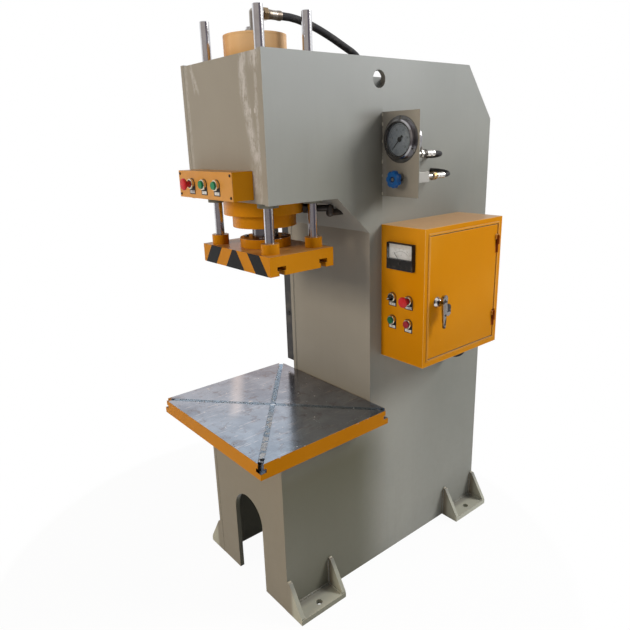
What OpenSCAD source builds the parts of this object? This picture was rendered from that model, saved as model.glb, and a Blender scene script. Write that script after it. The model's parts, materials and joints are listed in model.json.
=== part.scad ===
// C-frame hydraulic press with a guided platen, a T-slotted table,
// a push-button station, an electrical cabinet and a pressure gauge.
// Origin: on the floor under the ram axis, halfway between the side plates.
// X runs to the right of a person facing the front, Y to the back, Z up.

/* [Frame] */
// Width over the two side plates
frame_w = 415; // [400:1:430]
// Thickness of the welded frame plates
plate_t = 16; // [12:1:18]
// Thickness of the folded rear skin
rear_t = 8; // [5:1:12]
// Step from the side plates' edges down to the plates between them
edge_inset = 3; // [1:0.5:5]
// Step from the side plates' edges down to the front plates of head and base
front_inset = 0.5; // [0.2:0.1:2]
// Head front, ahead of the ram axis
head_nose = 128; // [126:1:136]
// Base front, ahead of the ram axis
base_nose = 133; // [126:1:145]
// Ram axis to the front of the column
throat_depth = 242; // [236:1:256]
// Column front to the back of the frame
column_depth = 597; // [580:1:630]
// Table top to the underside of the head
throat_h = 678; // [660:1:700]
// Underside of the head to its top
head_h = 384; // [374:1:400]
// Rear end of the head's top plate, behind the ram axis; behind it the frame is open
top_end = 400; // [380:5:420]
// Length of the slope between head and column, along Y
slope_run = 129; // [115:1:135]
// Drop of the slope between head and column
slope_drop = 114; // [100:1:130]
// Length of the sloping back corner, along Y
crown_run = 134; // [110:1:160]
// Drop of the sloping back corner
crown_drop = 168; // [140:1:200]
// Diameter of the lifting hole
lift_d = 50; // [40:1:56]
// Lifting hole, behind the ram axis
lift_back = 283; // [270:1:300]
// Lifting hole, below the top of the frame
lift_below = 58; // [50:1:70]

/* [Arch and feet] */
// Width of the arch in the base
arch_w = 162; // [140:1:190]
// Height of the arch in the base
arch_h = 335; // [300:1:380]
// Reach of each foot beyond the side plate
foot_out = 72; // [66:1:84]
// Thickness of each foot
foot_t = 18; // [12:1:24]
// Length of each foot along the frame
foot_len = 188; // [170:1:210]
// Height of the gussets above the foot
gusset_h = 101; // [80:1:130]
// Thickness of the gussets
gusset_t = 14; // [10:1:18]
// Width of a gusset at its top
gusset_top = 12; // [8:1:20]
// Diameter of the anchor holes
anchor_d = 22; // [16:1:26]
// Anchor holes, out from the side plate
anchor_out = 44; // [38:1:50]

/* [Table] */
// Height of the table top above the floor
table_h = 633; // [620:1:660]
// Thickness of the table
table_t = 48; // [44:1:60]
// Width of the table
table_w = 580; // [540:1:620]
// Front edge of the table, ahead of the ram axis
table_front = 258; // [240:1:280]
// Width of a T-slot at its mouth
slot_mouth = 17; // [14:0.5:20]
// Width of a T-slot at its foot
slot_foot = 30; // [26:0.5:34]
// Height of the wide part of a T-slot
slot_foot_h = 12; // [10:0.5:13]
// Depth of a table T-slot
table_slot = 29; // [26:0.5:32]

/* [Cylinder] */
// Outer diameter of the cylinder barrel
barrel_d = 178; // [172:1:182]
// Bore of the cylinder
bore_d = 140; // [130:1:146]
// Height of the barrel above the frame
barrel_up = 62; // [50:1:75]
// Diameter of the cylinder's mounting flange
flange_d = 242; // [236:1:250]
// Thickness of the cylinder's mounting flange
flange_t = 45; // [40:1:50]
// Diameter of the rod gland
gland_d = 193; // [186:1:196]
// Thickness of the rod gland
gland_t = 38; // [30:1:42]
// Depth of the gland's spigot in the bore
gland_spigot = 42; // [30:1:50]
// Thickness of the cap's rim
cap_t = 6; // [4:1:10]
// Depth of the cap's spigot in the bore
cap_spigot = 40; // [30:1:50]
// Number of flange screws
flange_screws = 8; // [4:2:12]
// Diameter of the flange screws
flange_screw_d = 12; // [8:1:12]

/* [Ram and platen] */
// Diameter of the piston rod
rod_d = 80; // [60:1:90]
// Length of the piston
piston_len = 60; // [40:1:80]
// Gap between gland and rod flange with the ram up
ram_gap = 34; // [28:1:44]
// Working stroke of the ram
stroke = 200; // [150:5:220]
// Diameter of the rod flange on the platen
rod_flange_d = 155; // [140:1:160]
// Thickness of the rod flange
rod_flange_t = 28; // [20:1:34]
// Width of the platen
platen_w = 364; // [350:1:380]
// Depth of the platen, front to back
platen_d = 231; // [225:1:245]
// Thickness of the platen
platen_t = 56; // [50:1:64]
// Distance of the platen T-slots from the ram axis
platen_slot_y = 76; // [70:1:84]
// Depth of a platen T-slot
platen_slot = 26; // [25:0.5:30]
// Diameter of the guide rods
guide_d = 28; // [22:1:32]
// Guide rods, sideways from the ram axis
guide_x = 135; // [132:1:140]
// Guide rods, front and back of the ram axis
guide_y = 79; // [77:1:82]
// Height of the guide rods above the frame with the ram up
guide_up = 112; // [90:1:130]
// Diameter of the guide collars on the platen
collar_d = 52; // [44:1:54]
// Height of the guide collars
collar_h = 30; // [20:1:35]
// Diameter of the guide bushes' flanges
bush_flange_d = 60; // [54:1:64]
// Thickness of the guide bushes' flanges
bush_flange_t = 15; // [10:1:18]
// Length of the guide bushes inside the head
bush_len = 170; // [120:1:200]
// Outer diameter of the guide bushes
bush_d = 44; // [38:1:46]

/* [Push-button station] */
// Width of the station
station_w = 295; // [280:1:310]
// Height of the station
station_h = 76; // [70:1:84]
// Depth of the station ahead of the head
station_out = 65; // [62:1:80]
// Left end of the station, from the middle of the press
station_left = 154; // [145:1:162]
// Bottom of the station above the underside of the head
station_up = 13; // [5:1:25]
// Thickness of the station's sheet metal
sheet_t = 2; // [1.5:0.5:3]
// Emergency stop, from the station's left end
stop_in = 78; // [70:1:85]
// Pitch of the station's controls
control_pitch = 69; // [60:1:74]
// Height of the controls above the station's bottom
control_up = 40; // [38:1:44]

/* [Buttons] */
// Diameter of the panel holes
panel_hole_d = 22.4; // [22.2:0.1:22.8]
// Diameter of the bezel rings
bezel_d = 29; // [28:0.5:32]
// Height of the bezel rings
bezel_h = 9; // [8:0.5:11]
// Diameter of the button caps
cap_d = 22; // [20:0.5:22.5]
// Height of a button face above its panel
button_out = 15; // [14.5:0.5:18]
// Travel of a button
button_travel = 4; // [3:0.5:4.5]
// Diameter of the mushroom heads
mushroom_d = 34; // [30:1:40]
// Height of a mushroom face above its panel
mushroom_out = 33; // [30:1:38]
// Width of a legend plate
legend_w = 32; // [30:1:34]
// Length of a legend plate below the button's centre
legend_drop = 29; // [24:1:31]
// Depth of a contact block behind its panel
contact_depth = 50; // [44:1:56]

/* [Cabinet] */
// Depth of the cabinet, out from the side plate
cabinet_out = 176; // [165:1:190]
// Width of the cabinet along the frame
cabinet_w = 384; // [370:1:400]
// Height of the cabinet
cabinet_h = 430; // [420:1:445]
// Front of the cabinet behind the column front
cabinet_back = 52; // [45:1:60]
// Bottom of the cabinet above the floor
cabinet_z = 788; // [770:1:800]
// Width of the border round the door
door_border = 21; // [18:1:26]
// Gap round the door
door_gap = 3; // [2:0.5:4]
// Depth of the door's folded edges
door_fold = 14; // [10:1:18]
// Diameter of the hinge barrels
hinge_d = 9; // [8:0.5:11]
// Diameter of the hinge pins
hinge_pin_d = 5; // [4:0.5:6]
// Length of one hinge knuckle
knuckle_h = 16; // [12:1:20]
// Lock centre, in from the door's front edge
lock_in = 39; // [36:1:46]
// Lock centre, above the cabinet's bottom
lock_up = 201; // [180:1:230]
// Length of the lever below the lock centre
lever_len = 79; // [70:1:100]

/* [Panel meter] */
// Width of the meter
meter_w = 104; // [98:1:110]
// Height of the meter
meter_h = 82; // [78:1:90]
// Height of the meter above the panel
meter_out = 14; // [12:1:18]
// Meter centre, out from the side plate
meter_x = 87; // [82:1:94]
// Meter centre, above the cabinet's bottom
meter_up = 340; // [330:1:350]
// Inner column of controls, out from the side plate
column_1 = 50; // [46:1:56]
// Outer column of controls, out from the side plate
column_2 = 117; // [108:1:124]
// Upper row of controls, above the cabinet's bottom
row_upper = 206; // [198:1:215]
// Lower row of controls, above the cabinet's bottom
row_lower = 132; // [120:1:140]

/* [Gauge] */
// Reach of the gauge bracket beyond the side plate
bracket_out = 143; // [138:1:155]
// Bottom of the gauge bracket below the underside of the head
bracket_drop = 7; // [0:1:20]
// Height of the gauge bracket
bracket_h = 243; // [240:1:260]
// Thickness of the gauge bracket
bracket_t = 3; // [2:0.5:5]
// Bracket face behind the column front
bracket_back = 55; // [48:1:62]
// Diameter of the gauge's mounting flange
gauge_flange_d = 132; // [128:1:136]
// Diameter of the gauge's bezel
gauge_bezel_d = 112; // [108:1:114]
// Diameter of the gauge's dial
dial_d = 93; // [86:1:96]
// Height of the gauge's bezel above its flange
gauge_out = 14; // [13:0.5:18]
// Depth of the gauge case behind the bracket
gauge_deep = 34; // [28:1:40]
// Gauge centre, out from the side plate
gauge_x = 73; // [69:1:76]
// Gauge centre, above the bracket's bottom
gauge_up = 164; // [160:1:172]
// Valve centre, above the bracket's bottom
valve_up = 53; // [45:1:58]
// Side of the square valve body
valve_side = 31; // [26:1:34]
// Length of the valve body
valve_len = 109; // [100:1:140]
// Diameter of the valve knob
knob_d = 50; // [44:1:56]
// Height of the valve knob
knob_h = 14; // [12:1:20]
// Gap between the bracket and the valve knob
knob_gap = 22; // [14:1:26]
// Lobes on the valve knob
knob_lobes = 7; // [5:1:9]

/* [Fits] */
// Radial running clearance of rods, pins and stems
running_fit = 0.05; // [0.02:0.01:0.1]
// Clearance round pieces that only pass each other
pass_gap = 0.5; // [0.3:0.1:1]
// Clearance where one piece is seated in another
seat_fit = 0.1; // [0.05:0.05:0.2]

/* [Hidden] */
$fn = 48;

frame_paint = "#9A968A";
press_orange = "#D9820F";
bright_steel = "#C9CBD0";
dark_steel = "#4A4A4C";
black = "#1B1B1D";

// Heights and depths of the frame
bed_z = table_h - table_t;
head_z = table_h + throat_h;
frame_h = head_z + head_h;
y_col = throat_depth;
y_rear = throat_depth + column_depth;
slope_y = y_col - slope_run;
slope_z = head_z - slope_drop;
crown_y = y_rear - crown_run;
crown_z = frame_h - crown_drop;
side_x = frame_w / 2;
inner_x = side_x - plate_t;
table_y = (y_col - table_front) / 2;
table_d = y_col + table_front;

// Side outline, clockwise with Y to the right and Z up
outline = [
    [-base_nose, 0], [-base_nose, bed_z], [y_col, bed_z], [y_col, slope_z],
    [slope_y, head_z], [-head_nose, head_z], [-head_nose, frame_h],
    [crown_y, frame_h], [y_rear, crown_z], [y_rear, 0]
];

// Heights of the ram stack with the ram up
flange_z = head_z + edge_inset - flange_t;
gland_z = flange_z - gland_t;
rod_flange_z = gland_z - ram_gap - rod_flange_t;
platen_z = rod_flange_z - platen_t;
barrel_z = frame_h + barrel_up;
guide_top = frame_h + guide_up;
head_floor = head_z + edge_inset + plate_t;
head_roof = frame_h - edge_inset - plate_t;
guide_seat = 36;
guide_spots = [for (x = [-1, 1], y = [-1, 1]) [x * guide_x, y * guide_y]];
screw_circle = (gland_d + flange_d) / 2;
screw_head_d = flange_screw_d * 1.5;
screw_sink = 1;

// Station
station_y = -head_nose - station_out;
station_x = -station_left;
station_z = head_z + station_up;
control_z = station_z + control_up;
stop_x = station_x + stop_in;
legend_t = 1.2;
barrel_len = 26;
stem_d = 8;
stem_end = 30;
cap_back = legend_t + bezel_h - 2.5;
station_spots = [for (i = [0:2]) [stop_x + i * control_pitch, station_y, control_z]];

// Cabinet
cabinet_x = side_x + cabinet_out;
cabinet_y = y_col + cabinet_back;
cabinet_t = 2.5;
bead_w = 5;
bead_h = 2;
door_y0 = cabinet_y + door_border + door_gap;
door_y1 = cabinet_y + cabinet_w - door_border - door_gap;
door_z0 = cabinet_z + door_border + door_gap;
door_z1 = cabinet_z + cabinet_h - door_border - door_gap;
hinge_x = cabinet_x + hinge_d / 2;
hinge_y = door_y1 + door_gap / 2;
hinge_inset = 65;
hinge_zs = [door_z0 + hinge_inset - knuckle_h / 2, door_z1 - hinge_inset];
lock_y = door_y0 + lock_in;
lock_z = cabinet_z + lock_up;
meter_at = [side_x + meter_x, cabinet_y, cabinet_z + meter_up];
panel_spots = [for (z = [row_upper, row_lower], x = [column_1, column_2])
    [side_x + x, cabinet_y, cabinet_z + z]];
needle_drop = meter_h * 0.28;
gear_front = 60;
gear_edge = 40;
gear_foot = 14;

// Gauge
bracket_y = y_col + bracket_back;
bracket_z = head_z - bracket_drop;
gauge_at = [side_x + gauge_x, bracket_y, bracket_z + gauge_up];
valve_at = [side_x + gauge_x, bracket_y, bracket_z + valve_up];
gauge_flange_t = 2.5;
dial_floor = 3;
glass_seat = 10;
glass_t = 2.5;
port_drop = 43;
port_at = [gauge_at[0], bracket_y + bracket_t + gauge_deep, gauge_at[2] - port_drop];
valve_end = bracket_y + bracket_t + valve_len;
valve_stem_d = 10;

// Rear access opening
window_w = 270;
window_h = 520;
window_z = 740;
cover_lap = 20;
louvres = 7;

// Power unit
tank_gap = 20;
tank_t = 4;
tank_leg = 40;
lid_lip = 8;
lid_t = 10;
filler_d = 40;
tank_y0 = y_col + edge_inset + plate_t + tank_gap + lid_lip;
tank_y1 = y_rear - edge_inset - rear_t - tank_gap - lid_lip;
tank_w = 2 * (inner_x - tank_gap);
tank_z0 = 60;
tank_h = 560;
lid_z = tank_z0 + tank_h + lid_t;
block_size = [120, 130, 150];
block_at = [0, tank_y0 + 151, lid_z];
motor_d = 186;
motor_h = 220;
motor_end = 40;
motor_flange_d = 210;
motor_flange_t = 14;
bell_h = 72;
fin_w = 6;
fin_depth = 7;
terminal_box = [120, 50, 90];
motor_at = [0, tank_y1 - 140, lid_z];

// Stroke switches, one stroke apart
rail_leg = 40;
rail_t = 4;
rail_y = y_col + 2;
rail_z0 = table_h + 30;
rail_z1 = slope_z - 20;
switch_size = [34, 26, 36];
switch_nose_d = 18;
switch_inset = 128;
switch_zs = [rail_z1 - switch_inset - stroke, rail_z1 - switch_inset];

// Hoses and pipes
hose_d = 22;
small_hose_d = 14;
small_nut = 21;
port_len = 48;
port_reach = 111;
valve_reach = 86;
upper_hose_run = 58;
lower_hose_run = 30;
bleed_d = 8;
fitting_up = 121;
fitting_z = frame_h + fitting_up;
ferrule_start = 44;
ferrule_end = 93;
hose_drop_y = block_at[1];
pipe_angle = 41;
pipe_reach = 201;
pipe_z = flange_z + 10;
pipe_d = 20;
elbow_d = 24;
elbow_drop = 14;
elbow_at = [pipe_reach * cos(pipe_angle), pipe_reach * sin(pipe_angle), pipe_z - elbow_drop];
conduit_d = 20;
conduit_bend = 46;
conduit_x = side_x + 75;
conduit_ys = [cabinet_y + 0.61 * cabinet_w, cabinet_y + 0.905 * cabinet_w];
conduit_stubs = [26, 36];
nut_h = 14;

// Moves a corner of the outline inwards by d, square to both its edges
function unit(v) = v / norm(v);
function right_of(a, b) = let (v = unit(b - a)) [v[1], -v[0]];
function corner(i, d) = let (
        n = len(outline),
        p = outline[i],
        a = right_of(outline[(i + n - 1) % n], p),
        b = right_of(p, outline[(i + 1) % n])
    ) p + d * (a + b) / (1 + a * b);

// Point on a cubic curve, and a run of such points
function cubic(p, t) = pow(1 - t, 3) * p[0] + 3 * t * pow(1 - t, 2) * p[1]
    + 3 * t * t * (1 - t) * p[2] + pow(t, 3) * p[3];
function run(p, steps) = [for (i = [1:steps]) cubic(p, i / steps)];

// Extrudes a Y-Z outline along X, centred or from x0
module along_x(width, x0) {
    translate([x0, 0, 0]) rotate([90, 0, 90]) linear_extrude(width) children();
}

module between_sides() {
    along_x(2 * inner_x, -inner_x) children();
}

// Turns local Z to face the front, with local Y up
module face_front(at) {
    translate(at) rotate([90, 0, 0]) children();
}

// Turns local Z to face right, with local X to the back and local Y up
module face_right(at) {
    translate(at) rotate([90, 0, 90]) children();
}

module ring(d_out, d_in, h) {
    difference() {
        cylinder(d = d_out, h = h);
        translate([0, 0, -1]) cylinder(d = d_in, h = h + 2);
    }
}

module hexagon(across, h) {
    cylinder(d = across / cos(30), h = h, $fn = 6);
}

// Round tube or solid hose along a list of points
module hose(points, d, up, sides = 12) {
    n = len(points);
    rings = [for (i = [0:n - 1]) let (
            t = unit(points[min(i + 1, n - 1)] - points[max(i - 1, 0)]),
            s = unit(cross(t, up)),
            u = cross(s, t)
        ) for (k = [0:sides - 1])
            points[i] + d / 2 * (cos(k * 360 / sides) * s + sin(k * 360 / sides) * u)];
    sides_of = [for (i = [0:n - 2], k = [0:sides - 1]) let (m = (k + 1) % sides)
        [i * sides + k, (i + 1) * sides + k, (i + 1) * sides + m, i * sides + m]];
    first = [for (k = [0:sides - 1]) k];
    last = [for (k = [sides - 1:-1:0]) (n - 1) * sides + k];
    polyhedron(rings, concat(sides_of, [first, last]), convexity = 6);
}

// ---------- Frame ----------

module side_profile() {
    difference() {
        polygon(outline);
        translate([lift_back, frame_h - lift_below]) circle(d = lift_d);
    }
}

module side_plate_left() {
    color(frame_paint) along_x(plate_t, -side_x) side_profile();
}

module side_plate_right() {
    color(frame_paint) along_x(plate_t, inner_x) difference() {
        side_profile();
        for (i = [0, 1])
            translate([conduit_ys[i], cabinet_z - conduit_stubs[i] - conduit_bend])
                circle(d = conduit_d + 2 * pass_gap);
        for (p = [upper_hose_in, lower_hose_in])
            translate(p) circle(d = small_hose_d + 4 * pass_gap);
    }
}

module head_front_plate() {
    color(frame_paint)
    translate([-inner_x, front_inset - head_nose, head_z + edge_inset])
        cube([2 * inner_x, plate_t, head_h - 2 * edge_inset]);
}

module head_top_plate() {
    front = front_inset - head_nose + plate_t;
    color(frame_paint) difference() {
        translate([-inner_x, front, head_roof]) cube([2 * inner_x, top_end - front, plate_t]);
        translate([0, 0, head_roof - 1]) {
            cylinder(d = barrel_d + 2 * pass_gap, h = plate_t + 2);
            for (p = guide_spots) translate(p) cylinder(d = guide_d + 6, h = plate_t + 2);
        }
    }
}

module head_bottom_plate() {
    front = front_inset - head_nose + plate_t;
    color(frame_paint) difference() {
        between_sides() polygon([
            [front, head_z + edge_inset], corner(4, edge_inset),
            corner(4, edge_inset + plate_t), [front, head_floor]
        ]);
        translate([0, 0, head_z]) {
            cylinder(d = barrel_d + 2 * pass_gap, h = 2 * plate_t);
            for (p = guide_spots) translate(p)
                cylinder(d = bush_d + 2 * seat_fit, h = 2 * plate_t);
            screw_places() cylinder(d = flange_screw_d + 2 * seat_fit, h = 2 * plate_t);
        }
    }
}

module throat_plate() {
    color(frame_paint) difference() {
        between_sides() polygon([
            corner(4, edge_inset), corner(3, edge_inset), [y_col + edge_inset, bed_z],
            [y_col + edge_inset + plate_t, bed_z], corner(3, edge_inset + plate_t),
            corner(4, edge_inset + plate_t)
        ]);
        translate(elbow_at) rotate([-90, 0, 0]) cylinder(d = pipe_d + 2 * pass_gap, h = 100);
        translate([0, 0, flange_z]) cylinder(d = flange_d + 2 * pass_gap, h = 2 * flange_t);
    }
}

module bed_plate() {
    front = front_inset - base_nose;
    color(frame_paint) translate([-inner_x, front, bed_z - plate_t])
        cube([2 * inner_x, y_col + edge_inset + plate_t - front, plate_t]);
}

module base_front_plate() {
    color(frame_paint)
    translate([0, front_inset - base_nose + plate_t, 0]) rotate([90, 0, 0])
    linear_extrude(plate_t) difference() {
        translate([-inner_x, 0]) square([2 * inner_x, bed_z - plate_t]);
        translate([0, arch_h - arch_w / 2]) circle(d = arch_w);
        translate([-arch_w / 2, -1]) square([arch_w, arch_h - arch_w / 2 + 1]);
    }
}

module rear_plate() {
    y0 = y_rear - edge_inset;
    color(frame_paint) difference() {
        between_sides() polygon([
            corner(7, edge_inset), corner(8, edge_inset), [y0, 0], [y0 - rear_t, 0],
            corner(8, edge_inset + rear_t), corner(7, edge_inset + rear_t)
        ]);
        translate([-window_w / 2, y0 - rear_t - 1, window_z])
            cube([window_w, rear_t + 2, window_h]);
    }
}

// Screwed cover over the rear opening, with rows of pressed louvres
module rear_cover() {
    w = window_w + 2 * cover_lap;
    h = window_h + 2 * cover_lap;
    slot_w = window_w - 60;
    pitch = window_h / (louvres + 1);
    z0 = window_z - cover_lap;
    y0 = y_rear - edge_inset;
    hood = [[0, 26], [12, 6], [12, 0], [10, 0], [10, 5.4], [0, 22]];
    color(frame_paint) union() {
        difference() {
            translate([-w / 2, y0, z0]) cube([w, sheet_t, h]);
            for (i = [1:louvres])
                translate([-slot_w / 2, y0 - 1, window_z + i * pitch - 8])
                    cube([slot_w, sheet_t + 2, 20]);
            for (x = [-1, 1], z = [10, h / 2, h - 10])
                translate([x * (w / 2 - 10), y0 - 1, z0 + z])
                    rotate([-90, 0, 0]) cylinder(d = 6, h = sheet_t + 2);
        }
        for (i = [1:louvres]) translate([0, y0, window_z + i * pitch - 8]) {
            along_x(slot_w, -slot_w / 2) polygon(hood);
            for (x = [-slot_w / 2 - sheet_t / 2, slot_w / 2 - sheet_t / 2])
                along_x(sheet_t, x) polygon([[0, 0], [12, 0], [12, 6], [0, 26]]);
        }
    }
}

// One foot: a floor plate and two gussets, drawn on the right side
module foot(y0) {
    color(frame_paint) difference() {
        translate([side_x, y0, 0]) {
            cube([foot_out, foot_len, foot_t]);
            for (y = [0, foot_len - gusset_t])
                translate([0, y + gusset_t, foot_t]) rotate([90, 0, 0])
                linear_extrude(gusset_t) polygon([
                    [0, 0], [foot_out - 2, 0], [foot_out - 2, 5],
                    [gusset_top, gusset_h], [0, gusset_h]
                ]);
        }
        translate([side_x + anchor_out, y0 + foot_len / 2, -1])
            cylinder(d = anchor_d, h = foot_t + 2);
    }
}

module front_feet() {
    foot(-base_nose);
    mirror([1, 0, 0]) foot(-base_nose);
}

module rear_feet() {
    foot(y_rear - foot_len);
    mirror([1, 0, 0]) foot(y_rear - foot_len);
}

// T-shaped groove along X, open upwards, its floor at z = 0
module t_groove(length, depth) {
    translate([-length / 2, -slot_foot / 2, 0]) cube([length, slot_foot, slot_foot_h]);
    translate([-length / 2, -slot_mouth / 2, 0]) cube([length, slot_mouth, depth + 1]);
}

module work_table() {
    diagonal = norm([table_w, table_d]);
    turn = atan2(table_d, table_w);
    color(press_orange) difference() {
        translate([-table_w / 2, -table_front, bed_z]) cube([table_w, table_d, table_t]);
        for (a = [turn, -turn]) translate([0, table_y, table_h - table_slot])
            rotate([0, 0, a]) t_groove(diagonal + 2 * slot_foot, table_slot);
    }
}

// ---------- Cylinder ----------

module screw_places() {
    for (i = [0:flange_screws - 1])
        rotate([0, 0, (i + 0.5) * 360 / flange_screws])
            translate([screw_circle / 2, 0, 0]) children();
}

module cylinder_barrel() {
    color(press_orange) difference() {
        union() {
            translate([0, 0, flange_z]) cylinder(d = flange_d, h = flange_t);
            translate([0, 0, flange_z]) cylinder(d = barrel_d, h = barrel_z - flange_z - cap_t);
        }
        translate([0, 0, flange_z - 1]) cylinder(d = bore_d, h = barrel_z);
        translate([0, 0, flange_z - 1]) screw_places() {
            cylinder(d = flange_screw_d + 2 * pass_gap, h = flange_t + 2);
            cylinder(d = screw_head_d + 4 * pass_gap, h = screw_sink + flange_screw_d + 1);
        }
    }
}

module cylinder_cap() {
    color(dark_steel) {
        translate([0, 0, barrel_z - cap_t]) cylinder(d = barrel_d, h = cap_t);
        translate([0, 0, barrel_z - cap_t - cap_spigot])
            cylinder(d = bore_d - 2 * seat_fit, h = cap_spigot + 0.5);
    }
}

module cylinder_gland() {
    color(press_orange) difference() {
        union() {
            translate([0, 0, gland_z]) cylinder(d = gland_d, h = gland_t);
            translate([0, 0, flange_z - 0.5])
                cylinder(d = bore_d - 2 * seat_fit, h = gland_spigot + 0.5);
        }
        translate([0, 0, gland_z - 1])
            cylinder(d = rod_d + 2 * running_fit, h = gland_t + gland_spigot + 2);
    }
}

module cylinder_screws() {
    color(dark_steel) screw_places() translate([0, 0, flange_z + screw_sink]) difference() {
        union() {
            cylinder(d = screw_head_d, h = flange_screw_d);
            cylinder(d = flange_screw_d, h = flange_t + plate_t - 2 * screw_sink);
        }
        translate([0, 0, -1]) hexagon(flange_screw_d * 0.8, 8);
    }
}

// Elbow on the cap, with a swivel nut and the hose's crimped ferrule
module top_fitting() {
    stub_d = 24;
    color(bright_steel) {
        translate([0, 0, barrel_z]) hexagon(44, 16);
        translate([0, 0, barrel_z + 15]) cylinder(d = stub_d, h = fitting_z - barrel_z - 15);
        translate([0, 0, fitting_z]) sphere(d = stub_d);
        translate([0, 0, fitting_z]) rotate([-90, 0, 0]) {
            cylinder(d = stub_d, h = 30);
            translate([0, 0, 29]) hexagon(30, ferrule_start - 28);
            translate([0, 0, ferrule_start]) cylinder(d = 25, h = ferrule_end - ferrule_start);
        }
    }
}

// Point of the hose's way from the ferrule to its drop, as shares of both
function hose_way(along, up) =
    [0, ferrule_end + along * (hose_drop_y - ferrule_end), frame_h + up * fitting_up];

top_route = concat(
    [hose_way(0, 1), hose_way(0.015, 1)],
    run([hose_way(0.015, 1), hose_way(0.27, 1.03), hose_way(0.56, 0.65), hose_way(0.8, 0.36)], 10),
    run([hose_way(0.8, 0.36), hose_way(0.94, 0.19), hose_way(1, -0.25), hose_way(1, -0.83)], 8),
    [[0, hose_drop_y, block_at[2] + block_size[2] + 20]]
);

module top_hose() {
    color(black) hose(top_route, hose_d, [1, 0, 0]);
}

// Pipe from the cylinder's flange to an elbow, and on through the sloping plate
module return_line() {
    color(dark_steel) {
        translate([0, 0, pipe_z]) rotate([0, 90, pipe_angle]) {
            translate([0, 0, flange_d / 2]) hexagon(1.2 * pipe_d, nut_h);
            translate([0, 0, flange_d / 2]) cylinder(d = pipe_d, h = pipe_reach - flange_d / 2);
        }
        translate(elbow_at) {
            sphere(d = elbow_d);
            cylinder(d = elbow_d, h = elbow_drop);
            translate([0, 0, elbow_drop]) sphere(d = elbow_d);
            rotate([-90, 0, 0]) cylinder(d = pipe_d, h = 4 * pipe_d);
        }
    }
}

module guide_bushes() {
    color(frame_paint) for (p = guide_spots) translate([p[0], p[1], head_z + edge_inset])
    difference() {
        union() {
            translate([0, 0, -bush_flange_t]) cylinder(d = bush_flange_d, h = bush_flange_t);
            translate([0, 0, -1]) cylinder(d = bush_d, h = bush_len);
        }
        translate([0, 0, -bush_flange_t - 1])
            cylinder(d = guide_d + 2 * running_fit, h = bush_flange_t + bush_len + 2);
    }
}

// ---------- Ram ----------

module piston_rod() {
    piston_top = barrel_z - cap_t - cap_spigot - 5;
    color(bright_steel) {
        translate([0, 0, rod_flange_z + 6]) cylinder(d = rod_d, h = piston_top - rod_flange_z - 6);
        translate([0, 0, piston_top - piston_len])
            cylinder(d = bore_d - 2 * running_fit, h = piston_len);
    }
}

module rod_flange() {
    color(press_orange) translate([0, 0, rod_flange_z]) difference() {
        cylinder(d = rod_flange_d, h = rod_flange_t);
        translate([0, 0, 6]) cylinder(d = rod_d + 2 * seat_fit, h = rod_flange_t);
    }
}

module platen() {
    color(press_orange) difference() {
        union() {
            translate([-platen_w / 2, -platen_d / 2, platen_z])
                cube([platen_w, platen_d, platen_t]);
            for (p = guide_spots) translate([p[0], p[1], rod_flange_z])
                translate([0, 0, -1]) cylinder(d = collar_d, h = collar_h + 1);
        }
        for (y = [-1, 1]) translate([0, y * platen_slot_y, platen_z + platen_slot])
            rotate([180, 0, 0]) t_groove(platen_w + 2, platen_slot);
        for (p = guide_spots) translate([p[0], p[1], rod_flange_z + collar_h - guide_seat])
            cylinder(d = guide_d + 2 * seat_fit, h = guide_seat + 1);
    }
}

module guide_rods() {
    foot_z = rod_flange_z + collar_h - guide_seat;
    color(bright_steel) for (p = guide_spots) translate([p[0], p[1], foot_z]) {
        cylinder(d = guide_d, h = guide_top - foot_z - 1.5);
        translate([0, 0, guide_top - foot_z - 1.5])
            cylinder(d1 = guide_d, d2 = guide_d - 3, h = 1.5);
    }
}

// Warning stripes on the platen's front: a triangle between two slanted bars
module hazard_stripes() {
    lean = platen_w * 0.11;
    bar = platen_w * 0.17;
    edge = platen_w * 0.03;
    color(black) face_front([0, -platen_d / 2, platen_z]) linear_extrude(0.3) {
        for (s = [0, 1]) mirror([s, 0, 0]) polygon([
            [-platen_w / 2 + edge, 0], [-platen_w / 2 + edge + bar, 0],
            [-platen_w / 2 + edge + bar + lean, platen_t],
            [-platen_w / 2 + edge + lean, platen_t]
        ]);
        polygon([[-platen_w * 0.14, 0], [platen_w * 0.14, 0],
                 [platen_w * 0.03, platen_t], [-platen_w * 0.03, platen_t]]);
    }
}

// ---------- Push buttons, used on the station and the cabinet ----------

module bezel() {
    color(bright_steel) difference() {
        union() {
            translate([0, 0, legend_t]) cylinder(d = bezel_d, h = bezel_h - 1.5);
            translate([0, 0, legend_t + bezel_h - 1.5])
                cylinder(d1 = bezel_d, d2 = bezel_d - 3, h = 1.5);
            translate([0, 0, -barrel_len])
                cylinder(d = panel_hole_d - 2 * seat_fit, h = barrel_len + legend_t + 1);
        }
        translate([0, 0, legend_t + 1.5]) cylinder(d = cap_d + 2 * pass_gap, h = bezel_h);
        translate([0, 0, -barrel_len - 1])
            cylinder(d = stem_d + 2 * pass_gap, h = barrel_len + 6);
    }
}

module legend() {
    color(black) linear_extrude(legend_t) difference() {
        union() {
            circle(d = legend_w);
            translate([-legend_w / 2, -legend_drop]) square([legend_w, legend_drop]);
        }
        circle(d = panel_hole_d);
    }
}

module contact_block() {
    w = 30;
    h = 42;
    color(black) difference() {
        translate([-w / 2, -h / 2, -contact_depth]) cube([w, h, contact_depth - sheet_t - 0.5]);
        translate([0, 0, -barrel_len - 1]) cylinder(d = panel_hole_d, h = barrel_len + 2);
        translate([0, 0, -stem_end - button_travel - 1]) cylinder(d = stem_d + 4, h = stem_end);
    }
}

module stem() {
    translate([0, 0, -stem_end]) cylinder(d = stem_d, h = stem_end + cap_back + 1);
}

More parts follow.
